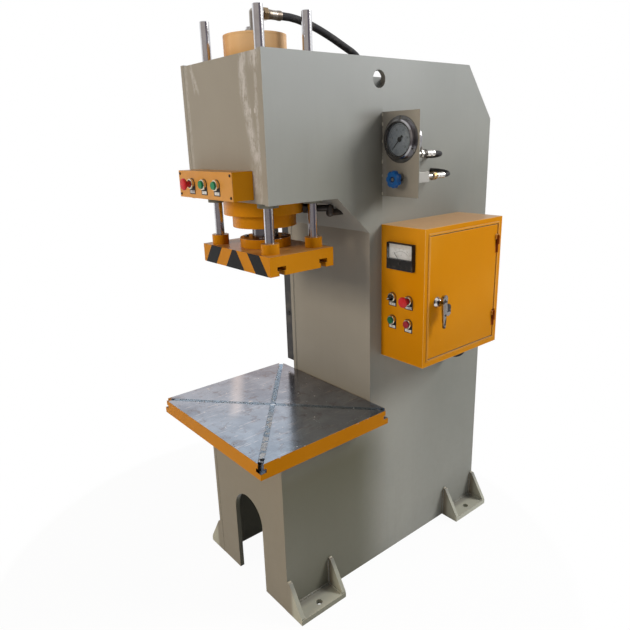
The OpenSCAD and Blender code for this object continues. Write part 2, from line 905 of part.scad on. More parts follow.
module push_cap() {
    stem();
    translate([0, 0, cap_back]) cylinder(d = cap_d, h = button_out - cap_back - 1);
    translate([0, 0, button_out - 1]) cylinder(d1 = cap_d, d2 = cap_d - 2, h = 1);
}

module mushroom() {
    stem();
    rotate_extrude() polygon([
        [0, cap_back], [9, cap_back], [7.5, cap_back + 6], [9, mushroom_out - 12],
        [mushroom_d / 2 - 1, mushroom_out - 8], [mushroom_d / 2, mushroom_out - 6],
        [mushroom_d / 2, mushroom_out - 4], [mushroom_d / 2 - 2, mushroom_out - 1.5],
        [mushroom_d / 4, mushroom_out - 0.3], [0, mushroom_out]
    ]);
}

module button_bezels() {
    for (p = concat(station_spots, panel_spots)) face_front(p) bezel();
}

module legend_plates() {
    for (p = concat(station_spots, panel_spots)) face_front(p) legend();
}

module contact_blocks() {
    for (p = concat(station_spots, panel_spots)) face_front(p) contact_block();
}

module station_estop() {
    color("crimson") face_front(station_spots[0]) mushroom();
}

module station_button_left() {
    color("seagreen") face_front(station_spots[1]) push_cap();
}

module station_button_right() {
    color("seagreen") face_front(station_spots[2]) push_cap();
}

module cabinet_estop() {
    color("crimson") face_front(panel_spots[1]) mushroom();
}

module start_button() {
    color("seagreen") face_front(panel_spots[2]) push_cap();
}

module stop_button() {
    color("firebrick") face_front(panel_spots[3]) push_cap();
}

// Rotary switch with a raised grip
module selector_knob() {
    color(black) face_front(panel_spots[0]) {
        stem();
        translate([0, 0, cap_back]) cylinder(d = cap_d, h = 4);
        rotate([0, 0, 30]) translate([-cap_d / 2 + 1, -3.5, cap_back + 3])
            cube([cap_d - 2, 7, button_out - cap_back]);
    }
}

module station_box() {
    depth = station_out + front_inset - sheet_t;
    color(press_orange) translate([station_x, station_y + sheet_t, station_z]) difference() {
        cube([station_w, depth, station_h]);
        translate([sheet_t, -1, sheet_t])
            cube([station_w - 2 * sheet_t, depth - sheet_t + 1, station_h - 2 * sheet_t]);
    }
}

module station_cover() {
    color(press_orange) face_front([0, station_y + sheet_t, 0]) linear_extrude(sheet_t)
    difference() {
        translate([station_x, station_z]) square([station_w, station_h]);
        for (p = station_spots) translate([p[0], p[2]]) circle(d = panel_hole_d);
    }
}

// ---------- Cabinet ----------

module hinge_knuckle(z, h) {
    translate([hinge_x, hinge_y, z]) cylinder(d = hinge_d, h = h);
}

// Welded shell, open at the door, with a rolled bead round the opening
module cabinet_shell() {
    open_y = cabinet_w - 2 * door_border;
    open_z = cabinet_h - 2 * door_border;
    color(press_orange) difference() {
        union() {
            translate([side_x, cabinet_y, cabinet_z]) cube([cabinet_out, cabinet_w, cabinet_h]);
            translate([cabinet_x - 1, cabinet_y + door_border - bead_w,
                       cabinet_z + door_border - bead_w])
                cube([bead_h + 1, open_y + 2 * bead_w, open_z + 2 * bead_w]);
            for (z = hinge_zs) {
                hinge_knuckle(z, knuckle_h);
                translate([cabinet_x - 1, hinge_y, z])
                    cube([hinge_x - cabinet_x + 1, hinge_d / 2 + 6, knuckle_h]);
            }
        }
        translate([side_x + cabinet_t, cabinet_y + cabinet_t, cabinet_z + cabinet_t])
            cube([cabinet_out - 2 * cabinet_t, cabinet_w - 2 * cabinet_t,
                  cabinet_h - 2 * cabinet_t]);
        translate([cabinet_x - cabinet_t - 1, cabinet_y + door_border, cabinet_z + door_border])
            cube([cabinet_t + bead_h + 2, open_y - 0.01, open_z]);
        translate([cabinet_x - cabinet_t - 1, hinge_y - door_gap / 2, door_z0 - door_gap])
            cube([cabinet_t + 1, door_gap, open_z]);
        for (z = hinge_zs) {
            translate([hinge_x, hinge_y, z - 1])
                cylinder(d = hinge_pin_d + 2 * running_fit, h = knuckle_h + 2);
            translate([hinge_x, hinge_y, z + knuckle_h])
                cylinder(d = hinge_d + 2 * pass_gap, h = knuckle_h + 2 * pass_gap);
        }
        for (p = panel_spots) face_front(p) translate([0, 0, -cabinet_t - 1])
            cylinder(d = panel_hole_d, h = cabinet_t + 2);
        face_front(meter_at) translate([0, 0, -cabinet_t - 1]) cylinder(d = 60, h = cabinet_t + 2);
        for (y = conduit_ys) translate([conduit_x, y, cabinet_z - 1])
            cylinder(d = conduit_d + 2 * seat_fit, h = cabinet_t + 2);
    }
}

// Folded door with the upper halves of its lift-off hinges and their pins
module cabinet_door() {
    w = door_y1 - door_y0;
    h = door_z1 - door_z0;
    color(press_orange) difference() {
        union() {
            translate([cabinet_x - door_fold, door_y0, door_z0]) cube([door_fold, w, h]);
            for (z = hinge_zs) {
                hinge_knuckle(z + knuckle_h + pass_gap, knuckle_h);
                translate([cabinet_x - 1, hinge_y - hinge_d / 2 - 6, z + knuckle_h + pass_gap])
                    cube([hinge_x - cabinet_x + 1, hinge_d / 2 + 6, knuckle_h]);
                translate([hinge_x, hinge_y, z])
                    cylinder(d = hinge_pin_d, h = 2 * knuckle_h);
            }
        }
        translate([cabinet_x - door_fold - 1, door_y0 + sheet_t, door_z0 + sheet_t])
            cube([door_fold - sheet_t + 1, w - 2 * sheet_t, h - 2 * sheet_t]);
        face_right([0, lock_y, lock_z]) cylinder(d = 20 + 2 * running_fit, h = 2 * cabinet_x);
    }
}

// Lock with a hanging lever outside and a latch tongue inside
module door_handle() {
    color(bright_steel) face_right([cabinet_x, lock_y, lock_z]) {
        translate([0, 0, -door_fold - 6]) cylinder(d = 20, h = door_fold + 6 + pass_gap + 1);
        translate([0, 0, pass_gap]) cylinder(d1 = 34, d2 = 24, h = 10);
        translate([0, 0, 10]) cylinder(d = 17, h = 14);
        hull() {
            translate([0, 16, 22]) cylinder(d = 22, h = 9, $fn = 32);
            translate([0, -lever_len + 5, 26]) cylinder(d = 10, h = 5, $fn = 32);
        }
        hull() for (y = [-14, -30]) translate([16, y, 20]) cylinder(d = 22, h = 11, $fn = 32);
        translate([-9, 0, -door_fold - 6]) cube([18, lock_in + 12, 3]);
    }
}

module cabinet_gear() {
    w = cabinet_w - gear_front - gear_edge;
    h = cabinet_h - 2 * gear_edge;
    color("#C8C6BE") translate([side_x + cabinet_t, cabinet_y + gear_front, cabinet_z + gear_edge]) {
        for (y = [gear_foot, w - gear_foot], z = [gear_foot, h - gear_foot])
            translate([0, y, z]) rotate([0, 90, 0]) cylinder(d = gear_foot, h = gear_foot + 1);
        translate([gear_foot, 0, 0]) {
            cube([cabinet_t, w, h]);
            for (i = [0:2]) translate([2, w * (0.06 + 0.18 * i), h * 0.6])
                cube([cabinet_out * 0.46, w * 0.15, h * 0.26]);
            translate([2, w * 0.64, h * 0.54]) cube([cabinet_out * 0.4, w * 0.28, h * 0.32]);
            translate([2, w * 0.44, h * 0.1]) cube([cabinet_out * 0.5, w * 0.4, h * 0.3]);
            translate([2, w * 0.06, h * 0.1]) cube([cabinet_out * 0.26, w * 0.3, h * 0.16]);
        }
    }
}

// Panel meter: a dark case whose window shows the scale
module meter_case() {
    color(black) face_front(meter_at) difference() {
        union() {
            translate([-meter_w / 2, -meter_h / 2, 0]) cube([meter_w, meter_h, meter_out]);
            translate([0, 0, -38]) cylinder(d = 58, h = 39);
        }
        translate([-meter_w / 2 + 3, -meter_h * 0.1, 4])
            cube([meter_w - 6, meter_h * 0.6 - 3, meter_out]);
        translate([0, -needle_drop, 4]) cylinder(d = 11, h = meter_out - 6);
        translate([0, 0, 4]) linear_extrude(meter_out - 6) polygon([
            [-5, -needle_drop], [5, -needle_drop], [24, -meter_h * 0.1 + 1], [-24, -meter_h * 0.1 + 1]
        ]);
    }
}

module meter_window() {
    color("white", 0.4) face_front(meter_at)
        translate([-meter_w / 2 + 3 + seat_fit, -meter_h * 0.1 + seat_fit, meter_out - 2.5])
            cube([meter_w - 6 - 2 * seat_fit, meter_h * 0.6 - 3 - 2 * seat_fit, 2.5]);
}

module meter_needle() {
    color(black) face_front(meter_at) translate([0, -needle_drop, 4.6]) rotate([0, 0, 40]) {
        cylinder(d = 7, h = 3);
        translate([-0.6, 0, 1]) cube([1.2, meter_h * 0.54, 0.8]);
    }
}

// Two black conduits from the cabinet's floor round into the side plate
module conduits() {
    into = inner_x - plate_t - conduit_x;
    color(black) for (i = [0, 1]) translate([conduit_x, conduit_ys[i], cabinet_z]) {
        stub = conduit_stubs[i];
        translate([0, 0, -nut_h]) hexagon(conduit_d * 1.4, nut_h);
        translate([0, 0, -stub]) cylinder(d = conduit_d, h = stub + nut_h);
        translate([-conduit_bend, 0, -stub]) rotate([-90, 0, 0])
            rotate_extrude(angle = 90) translate([conduit_bend, 0]) circle(d = conduit_d);
        translate([into, 0, -stub - conduit_bend]) rotate([0, 90, 0])
            cylinder(d = conduit_d, h = -into - conduit_bend);
    }
}

// ---------- Gauge ----------

module gauge_bracket() {
    color(frame_paint) face_front([side_x, bracket_y + bracket_t, bracket_z])
    linear_extrude(bracket_t) difference() {
        square([bracket_out, bracket_h]);
        translate([gauge_x, gauge_up]) circle(d = dial_d + 8);
        translate([gauge_x, valve_up]) circle(d = 22);
    }
}

module gauge_case() {
    rim = gauge_bezel_d / 2;
    cup = dial_d / 2;
    front = gauge_flange_t + gauge_out;
    color(bright_steel) difference() {
        face_front(gauge_at) rotate_extrude() polygon([
            [0, -bracket_t - gauge_deep], [cup + 2, -bracket_t - gauge_deep],
            [cup + 3.5, -bracket_t - gauge_deep + 3], [cup + 3.5, 0],
            [gauge_flange_d / 2, 0], [gauge_flange_d / 2, gauge_flange_t],
            [rim - 1, gauge_flange_t], [rim, gauge_flange_t + 2], [rim, front - 4],
            [rim - 4, front], [cup + 3, front], [cup + 3, glass_seat], [cup, glass_seat],
            [cup, dial_floor], [0, dial_floor]
        ]);
        for (a = [90, 210, 330]) face_front(gauge_at) rotate([0, 0, a])
            translate([(gauge_bezel_d + gauge_flange_d) / 4, 0, -1]) cylinder(d = 5, h = 6);
    }
}

module gauge_dial() {
    color("#D4D8DA") face_front(gauge_at) translate([0, 0, dial_floor])
        cylinder(d = dial_d - 1, h = 1);
}

module gauge_glass() {
    color("white", 0.3) face_front(gauge_at) translate([0, 0, glass_seat])
        cylinder(d = dial_d + 6 - 2 * seat_fit, h = glass_t);
}

module gauge_needle() {
    color(black) face_front(gauge_at) translate([0, 0, dial_floor + 1.6]) rotate([0, 0, 135]) {
        cylinder(d = 9, h = 3.5);
        translate([0, 0, 1]) linear_extrude(1) polygon([
            [-3.2, -14], [3.2, -14], [1.4, 0], [0.5, dial_d * 0.4], [-0.5, dial_d * 0.4], [-1.4, 0]
        ]);
    }
}

module gauge_valve() {
    color(bright_steel) {
        translate([valve_at[0] - valve_side / 2, bracket_y + bracket_t, valve_at[2] - valve_side / 2])
            cube([valve_side, valve_len, valve_side]);
        face_front(valve_at) {
            translate([0, 0, -bracket_t - 1]) cylinder(d = 21, h = bracket_t + 1);
            hexagon(30, 7);
            translate([0, 0, 6]) cylinder(d = valve_stem_d, h = knob_gap + knob_h - 10);
        }
    }
}

module valve_knob() {
    r = knob_d / 2;
    color("#1D5FA8") face_front(valve_at) translate([0, 0, knob_gap]) difference() {
        union() {
            linear_extrude(knob_h - 3) lobed(r);
            translate([0, 0, knob_h - 3]) linear_extrude(3) lobed(r - 2);
        }
        translate([0, 0, -1]) cylinder(d = valve_stem_d + 2 * running_fit, h = knob_h - 3);
        translate([0, 0, knob_h - 3]) cylinder(d = knob_d * 0.4, h = 4);
    }
}

module lobed(r) {
    difference() {
        circle(r = r);
        for (i = [0:knob_lobes - 1]) rotate(i * 360 / knob_lobes)
            translate([r * 1.12, 0]) circle(d = r * 0.52);
    }
}

// Adapters, nuts and crimped ferrules behind the bracket
module gauge_fittings() {
    color(bright_steel) {
        translate(port_at) rotate([-90, 0, 0]) {
            cylinder(d = small_hose_d + 2, h = port_len);
            translate([0, 0, port_len]) hexagon(small_nut, nut_h);
            cylinder(d = small_hose_d + 1, h = port_reach);
        }
        translate([port_at[0], port_at[1] + port_len + nut_h / 2, port_at[2]])
            cylinder(d = bleed_d, h = small_nut);
        translate([valve_at[0], valve_end, valve_at[2]]) rotate([-90, 0, 0]) {
            translate([0, 0, valve_reach / 2 - nut_h]) hexagon(small_nut, nut_h);
            cylinder(d = small_hose_d + 2, h = valve_reach);
        }
    }
}

gauge_hose_start = [port_at + [0, port_reach, 0],
                    [valve_at[0], valve_end + valve_reach, valve_at[2]]];
upper_hose_in = [gauge_hose_start[0][1] + upper_hose_run, port_at[2] - hose_d / 2];
lower_hose_in = [gauge_hose_start[1][1] + lower_hose_run, valve_at[2] + hose_d / 2];

// Way of a side hose from p on its ferrule to q on the side plate
function side_hose(p, q) = let (
        out = p[0] - side_x,
        start = p + [0, 0.3 * small_hose_d, 0],
        end = [side_x + 0.3 * small_hose_d, q[0], q[1]]
    ) concat([p, start], run([start, start + [0, 0.7 * out, 0],
        [side_x + 0.7 * out, q[0], q[1]], end], 10), [[inner_x - 20, q[0], q[1]]]);

module gauge_hoses() {
    color(black) {
        hose(side_hose(gauge_hose_start[0], upper_hose_in), small_hose_d, [0, 0, 1]);
        hose(side_hose(gauge_hose_start[1], lower_hose_in), small_hose_d, [0, 0, 1]);
    }
}

// ---------- Power unit inside the column ----------

module oil_tank() {
    tank_d = tank_y1 - tank_y0;
    color(frame_paint) {
        difference() {
            union() {
                translate([-tank_w / 2, tank_y0, tank_z0]) cube([tank_w, tank_d, tank_h]);
                translate([-tank_w / 2 - lid_lip, tank_y0 - lid_lip, tank_z0 + tank_h])
                    cube([tank_w + 2 * lid_lip, tank_d + 2 * lid_lip, lid_t]);
            }
            translate([tank_t - tank_w / 2, tank_y0 + tank_t, tank_z0 + tank_t])
                cube([tank_w - 2 * tank_t, tank_d - 2 * tank_t, tank_h - tank_t]);
            translate([tank_w / 2 - filler_d, tank_y0 + filler_d, tank_z0 + tank_h - 1])
                cylinder(d = filler_d, h = lid_t + 2);
        }
        for (x = [-1, 1])
            translate([x * (tank_w - tank_leg) / 2 - tank_leg / 2, tank_y0 + tank_leg, 0])
                cube([tank_leg, tank_d - 2 * tank_leg, tank_z0 + 1]);
    }
}

module pump_motor() {
    color("#5A7A8C") translate(motor_at) {
        cylinder(d = motor_flange_d, h = motor_flange_t);
        cylinder(d = motor_d - 2, h = bell_h);
        translate([0, 0, bell_h]) difference() {
            cylinder(d = motor_d, h = motor_h);
            for (a = [0:15:345]) rotate([0, 0, a])
                translate([motor_d / 2 - fin_depth, -fin_w / 2, -1])
                    cube([fin_depth + 1, fin_w, motor_h - 2 * fin_depth]);
        }
        translate([0, 0, bell_h + motor_h])
            cylinder(d1 = motor_d, d2 = motor_d * 0.86, h = motor_end);
        translate([-terminal_box[0] / 2, -motor_d / 2 - 0.7 * terminal_box[1], 2 * bell_h])
            cube(terminal_box);
    }
}

module valve_block() {
    coil = block_size * 0.4;
    color(dark_steel) translate(block_at) {
        translate([-block_size[0] / 2, -block_size[1] / 2, 0]) cube(block_size);
        translate([0, 0, block_size[2] - 1]) hexagon(36, 21);
        translate([-coil[0] / 2, 1 - block_size[1] / 2 - coil[1], coil[0]]) cube(coil);
    }
}

// ---------- Stroke switches on the left side ----------

module switch_places() {
    for (z = switch_zs) translate([-side_x - (rail_leg + rail_t) / 2, rail_y + rail_t, z])
        children();
}

module trip_rail() {
    color(dark_steel) difference() {
        translate([-side_x, rail_y, rail_z0]) mirror([1, 0, 0]) {
            cube([rail_leg, rail_t, rail_z1 - rail_z0]);
            cube([rail_t, rail_leg, rail_z1 - rail_z0]);
        }
        switch_places() translate([0, -rail_t - 1, 0]) rotate([-90, 0, 0])
            cylinder(d = switch_nose_d + 2 * seat_fit, h = rail_t + 2);
    }
}

// Boxes behind the rail, each with a round nose through it
module trip_switches() {
    color(black) switch_places() {
        translate([-switch_size[0] / 2, 0, -switch_size[2] / 2]) cube(switch_size);
        translate([0, -rail_t - 2, 0]) rotate([-90, 0, 0])
            cylinder(d = switch_nose_d, h = rail_t + 3);
    }
}

side_plate_left();
side_plate_right();
head_front_plate();
head_top_plate();
head_bottom_plate();
throat_plate();
bed_plate();
base_front_plate();
rear_plate();
rear_cover();
front_feet();
rear_feet();
work_table();
cylinder_barrel();
cylinder_cap();
cylinder_gland();
cylinder_screws();
top_fitting();
top_hose();
return_line();
guide_bushes();
station_box();
station_cover();
button_bezels();
legend_plates();
contact_blocks();
cabinet_shell();
cabinet_gear();
meter_case();
meter_window();
conduits();
gauge_bracket();
gauge_case();
gauge_dial();
gauge_glass();
gauge_valve();
gauge_fittings();
gauge_hoses();
oil_tank();
pump_motor();
valve_block();
trip_rail();
trip_switches();
piston_rod();
rod_flange();
platen();
guide_rods();
hazard_stripes();
station_estop();
station_button_left();
station_button_right();
cabinet_door();
door_handle();
meter_needle();
selector_knob();
cabinet_estop();
start_button();
stop_button();
gauge_needle();
valve_knob();
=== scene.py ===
import json
import math
import random

import bmesh
import bpy
from bpy.props import FloatProperty, FloatVectorProperty, PointerProperty
from bpy.types import Operator, Panel, PropertyGroup
from mathutils import Matrix, Vector


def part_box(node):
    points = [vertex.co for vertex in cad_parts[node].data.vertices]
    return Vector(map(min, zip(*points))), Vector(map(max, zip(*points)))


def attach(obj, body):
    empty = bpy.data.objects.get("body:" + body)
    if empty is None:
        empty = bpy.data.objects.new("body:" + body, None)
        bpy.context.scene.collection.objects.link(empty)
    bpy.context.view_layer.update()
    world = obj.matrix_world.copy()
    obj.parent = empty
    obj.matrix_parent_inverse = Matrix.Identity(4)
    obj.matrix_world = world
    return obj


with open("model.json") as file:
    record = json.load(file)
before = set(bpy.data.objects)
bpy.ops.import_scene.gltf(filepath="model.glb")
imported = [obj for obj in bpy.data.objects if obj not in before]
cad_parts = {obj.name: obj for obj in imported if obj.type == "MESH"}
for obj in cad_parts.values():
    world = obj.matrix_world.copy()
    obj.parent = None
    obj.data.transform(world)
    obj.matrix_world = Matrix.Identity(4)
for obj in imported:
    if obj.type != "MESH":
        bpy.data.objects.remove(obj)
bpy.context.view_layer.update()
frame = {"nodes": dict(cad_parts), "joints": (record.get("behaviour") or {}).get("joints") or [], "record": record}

bl_info = {
    "name": "Hydraulic press dressing",
    "version": (1, 0, 0),
    "blender": (4, 5, 0),
    "location": "3D View > Sidebar > Press",
    "description": "Paints, fastens and lights a C-frame hydraulic press",
    "category": "Object",
}

MM = 0.001
FOOT = 18 * MM  # thickness of a foot's plate
GUSSET = 14 * MM  # thickness of a foot's gusset
ROD = 40 * MM  # radius of the piston rod
GUIDE = 14 * MM  # radius of a guide rod
GAUGE_FACE = 56 * MM  # radius of the gauge's front ring
UP = (0, 0, 1)
DOWN = (0, 0, -1)
BACK = (0, 1, 0)
FRONT = (0, -1, 0)
nodes = frame["nodes"]

# CAD nodes whose edges are broken as wide as a plate's
PLATES = (
    "side_plate_left", "side_plate_right", "head_front_plate", "head_top_plate",
    "head_bottom_plate", "throat_plate", "bed_plate", "base_front_plate", "rear_plate",
    "front_feet", "rear_feet", "work_table", "cylinder_barrel", "cylinder_cap",
    "cylinder_gland", "rod_flange", "platen",
)
# CAD nodes with a finish of their own instead of their material slot's
OWN_FINISH = {
    "platen": "platen_paint", "rod_flange": "flange_paint",
    "top_fitting": "fitting_steel", "gauge_hoses": "side_hose_rubber",
    "cylinder_barrel": "cylinder_paint", "cylinder_cap": "cylinder_paint",
    "cylinder_gland": "cylinder_paint", "guide_bushes": "bush_paint",
    "station_cover": "station_paint", "piston_rod": "rod_chrome",
    "cabinet_shell": "cabinet_paint", "cabinet_door": "cabinet_paint",
    "door_handle": "lever_chrome", "stop_button": "stop_cap", "start_button": "start_cap",
}


def paint(red, green, blue):
    """Turns a colour as it looks, 0 to 255, into the linear values that shaders take."""
    def linear(value):
        value /= 255
        return value / 12.92 if value <= 0.04045 else ((value + 0.055) / 1.055) ** 2.4
    return (linear(red), linear(green), linear(blue), 1.0)


BROWN_DIRT_AND_SHADE = paint(120, 74, 20)
PRIMER = paint(92, 84, 76)
BARE = paint(150, 152, 156)
ORANGE_FADED = paint(218, 150, 40)
DEEP_ORANGE = paint(194, 123, 8)
DEEP_FADED = paint(200, 136, 36)
ORANGE_COAT = (DEEP_ORANGE, DEEP_FADED, BROWN_DIRT_AND_SHADE, PRIMER)

# Finishes without special places: key, name, colour or colours, roughness and the rest.
# The key is a material slot of the CAD, or a word of its own if only pieces wear it.
ENAMELS = (
    # The station's paler, faded tones: partly faded paint, partly a painted sheen.
    ("station_paint", "station_enamel",
     (paint(206, 138, 44), paint(206, 154, 92), BROWN_DIRT_AND_SHADE, PRIMER), 0.3,
     {"wear": 0.4, "grime": 0.3, "peel": 0.6, "shine": 0.4}),
    ("bush_paint", "bush_enamel",
     (paint(116, 116, 106), paint(144, 143, 134), paint(70, 66, 54), PRIMER), 0.4,
     {"wear": 0.6, "grime": 0.8}),
    ("stripe_paint", "warning_black",
     (paint(30, 31, 34), paint(48, 48, 50), paint(60, 56, 50), paint(120, 96, 50)), 0.42,
     {"wear": 0.16, "grime": 0.25}),
    ("motor_paint", "motor_enamel",
     (paint(88, 116, 134), paint(110, 134, 148), paint(70, 66, 58), PRIMER), 0.4,
     {"wear": 0.5, "grime": 0.8}),
    ("pale_paint", "pale_enamel",
     (paint(206, 200, 184), paint(178, 172, 156), paint(120, 110, 90), BARE), 0.4, {}),
)
METALS = (
    ("hard_chrome", "hard_chrome", paint(214, 214, 218), 0.14,
     {"along": (30, 30, 1), "scale": 40, "film": 0.2}),
    ("rod_chrome", "dark_chrome", paint(150, 150, 154), 0.2,
     {"along": (30, 30, 1), "scale": 40, "film": 0.3}),
    ("zinc_steel", "zinc_plate", paint(186, 184, 178), 0.3, {"film": 0.4}),
    ("black_steel", "black_oxide", paint(66, 64, 63), 0.42, {"film": 0.3}),
    # The gauge case's patchy dark film: partly old oil, partly painted dark reflections.
    ("polished_steel", "polished_case", paint(160, 158, 160), 0.14,
     {"tint": paint(60, 58, 60), "film": 0.5}),
    ("bezel_metal", "plated_ring", paint(214, 204, 182), 0.2, {"film": 0.25}),
    ("old_steel", "old_ferrule", paint(122, 112, 102), 0.36, {"film": 0.4}),
    ("bright_steel", "bright_ferrule", paint(214, 212, 208), 0.2, {"film": 0.2}),
    ("worn_steel", "worn_steel", paint(176, 176, 176), 0.34, {"film": 0.3}),
    ("brass", "yellow_brass", paint(176, 140, 84), 0.3, {"film": 0.4}),
)
PLASTICS = (
    ("start_cap", "start_cap", paint(10, 98, 60), 0.34, {"dust": 0.1}),
    ("stop_cap", "stop_cap", paint(150, 22, 42), 0.34, {"dust": 0.1}),
    ("black_plastic", "black_moulding", paint(30, 29, 30), 0.42, {}),
    ("red_plastic", "red_cap", paint(196, 30, 38), 0.3, {"dust": 0.1}),
    ("green_plastic", "green_cap", paint(16, 128, 84), 0.3, {"dust": 0.1}),
    ("label_white", "white_label", paint(214, 214, 216), 0.5, {"dust": 0.3, "grain": 0.1}),
    ("gear_plastic", "switchgear", paint(196, 194, 186), 0.5, {"dust": 0.3}),
)


# ---------- Shader maths ----------


def join(tree, value, target):
    if isinstance(value, Wire):
        tree.links.new(value.socket, target)
    else:
        target.default_value = value


class Wire:
    """A shader socket that takes part in Python arithmetic."""

    def __init__(self, owner, socket):
        self.owner = owner
        self.socket = socket

    def math(self, operation, *values, clamp=False):
        settings = {"operation": operation, "use_clamp": clamp}
        return self.owner.node("ShaderNodeMath", settings, dict(enumerate(values)))

    def __add__(self, other):
        return self.math("ADD", self, other)

    def __sub__(self, other):
        return self.math("SUBTRACT", self, other)

    def __rsub__(self, other):
        return self.math("SUBTRACT", other, self)

    def __mul__(self, other):
        return self.math("MULTIPLY", self, other)

    def __truediv__(self, other):
        return self.math("DIVIDE", self, other)

    __radd__ = __add__

    def clamp(self):
        return self.math("ADD", self, 0, clamp=True)

    def abs(self):
        return self.math("ABSOLUTE", self)

    def sin(self):
        return self.math("SINE", self)

    def greater(self, other):
        return self.math("GREATER_THAN", self, other)

    def max(self, other):
        return self.math("MAXIMUM", self, other)

    def rise(self, low, high):
        """0 below low, 1 above high, and a smooth step between them."""
        settings = {"interpolation_type": "SMOOTHSTEP"}
        sockets = {"Value": self, "From Min": low, "From Max": high}
        return self.owner.node("ShaderNodeMapRange", settings, sockets)

    def fall(self, low, high):
        return 1 - self.rise(low, high)

    def near(self, centre, width):
        """1 at centre, fading to 0 at width from it."""
        return (self - centre).abs().fall(0, width)


class Nodes:
    """A node tree that nodes are added to by one method."""

    def __init__(self, tree):
        self.tree = tree
        tree.nodes.clear()

    def node(self, kind, settings=None, sockets=None, out=0):
        """Adds a node, its settings first and then its sockets, and gives one output."""
        made = self.tree.nodes.new(kind)
        for key, value in (settings or {}).items():
            setattr(made, key, value)
        for key, value in (sockets or {}).items():
            join(self.tree, value, made.inputs[key])
        return Wire(self, made.outputs[out])

    def mix(self, factor, low, high):
        settings = {"data_type": "RGBA"}
        return self.node("ShaderNodeMix", settings, {0: factor, 6: low, 7: high}, 2)

    def seen_white(self):
        """1 for what the camera, mirrors and glass look at, 0 for light on the object."""
        path = self.node("ShaderNodeLightPath", out="Is Camera Ray")
        outputs = path.socket.node.outputs
        shiny = Wire(self, outputs["Is Glossy Ray"])
        through = Wire(self, outputs["Is Transmission Ray"])
        return path.max(shiny).max(through)


class Finish(Nodes):
    """A node material whose colour, roughness and relief are built up in layers."""

    def __init__(self, name, colour, rough, fixed=None):
        self.material = bpy.data.materials.new(name)
        self.material.use_nodes = True
        super().__init__(self.material.node_tree)
        self.shader = self.tree.nodes.new("ShaderNodeBsdfPrincipled")
        surface = self.tree.nodes.new("ShaderNodeOutputMaterial").inputs["Surface"]
        self.tree.links.new(self.shader.outputs[0], surface)
        for key, value in (fixed or {}).items():
            self.shader.inputs[key].default_value = value
        self.colour = colour
        self.rough = rough
        self.relief = None
        self.depth = 0.0002
        self.place = self.node("ShaderNodeTexCoord", out="Object")
        self.x, self.y, self.z = (
            self.node("ShaderNodeSeparateXYZ", None, {0: self.place}, axis) for axis in "XYZ"
        )

    def noise(self, scale, detail=3.0, rough=0.55, along=None, twist=0.0):
        """Clouded noise, finer along the axes that have a larger share."""
        vector = self.place
        if along:
            settings = {"operation": "MULTIPLY"}
            vector = self.node("ShaderNodeVectorMath", settings, {0: vector, 1: along})
        sockets = {"Vector": vector, "Scale": scale, "Detail": detail,
                   "Roughness": rough, "Distortion": twist}
        return self.node("ShaderNodeTexNoise", None, sockets)

    def spots(self, scale):
        """0 at scattered points, and more away from them."""
        sockets = {"Vector": self.place, "Scale": scale}
        return self.node("ShaderNodeTexVoronoi", None, sockets, "Distance")

    def coat(self, factor, colour):
        """Lays a colour over what is there, where the factor says so."""
        self.colour = self.mix(factor, self.colour, colour)

    def edges(self, width):
        """1 along edges, where paint wears and where highlights are painted, 0 on flat faces."""
        sockets = {"Radius": width}
        bent = self.node("ShaderNodeBevel", {"samples": 4}, sockets)
        flat = self.node("ShaderNodeNewGeometry", out="Normal")
        settings = {"operation": "DOT_PRODUCT"}
        facing = self.node("ShaderNodeVectorMath", settings, {0: bent, 1: flat}, "Value")
        return (1 - facing).rise(0.004, 0.06)

    def corners(self, reach):
        """1 deep in a corner between faces, 0 in the open."""
        sockets = {"Distance": reach}
        open_air = self.node("ShaderNodeAmbientOcclusion", {"samples": 6}, sockets, "AO")
        return 1 - open_air

    def facing(self, axis):
        """How far the surface faces along an axis, from -1 to 1."""
        normal = self.node("ShaderNodeNewGeometry", out="Normal")
        return self.node("ShaderNodeSeparateXYZ", None, {0: normal}, axis)

    def raise_by(self, amount):
        self.relief = amount if self.relief is None else self.relief + amount

    def done(self, varying=None):
        """Feeds the layers to the shader, and what else changes over the surface."""
        join(self.tree, self.colour, self.shader.inputs["Base Color"])
        join(self.tree, self.rough, self.shader.inputs["Roughness"])
        for key, value in (varying or {}).items():
            join(self.tree, value, self.shader.inputs[key])
        if self.relief is not None:
            sockets = {"Height": self.relief, "Distance": self.depth, "Strength": 1.0}
            bumped = self.node("ShaderNodeBump", None, sockets)
            join(self.tree, bumped, self.shader.inputs["Normal"])
        return self.material


# ---------- Finishes ----------


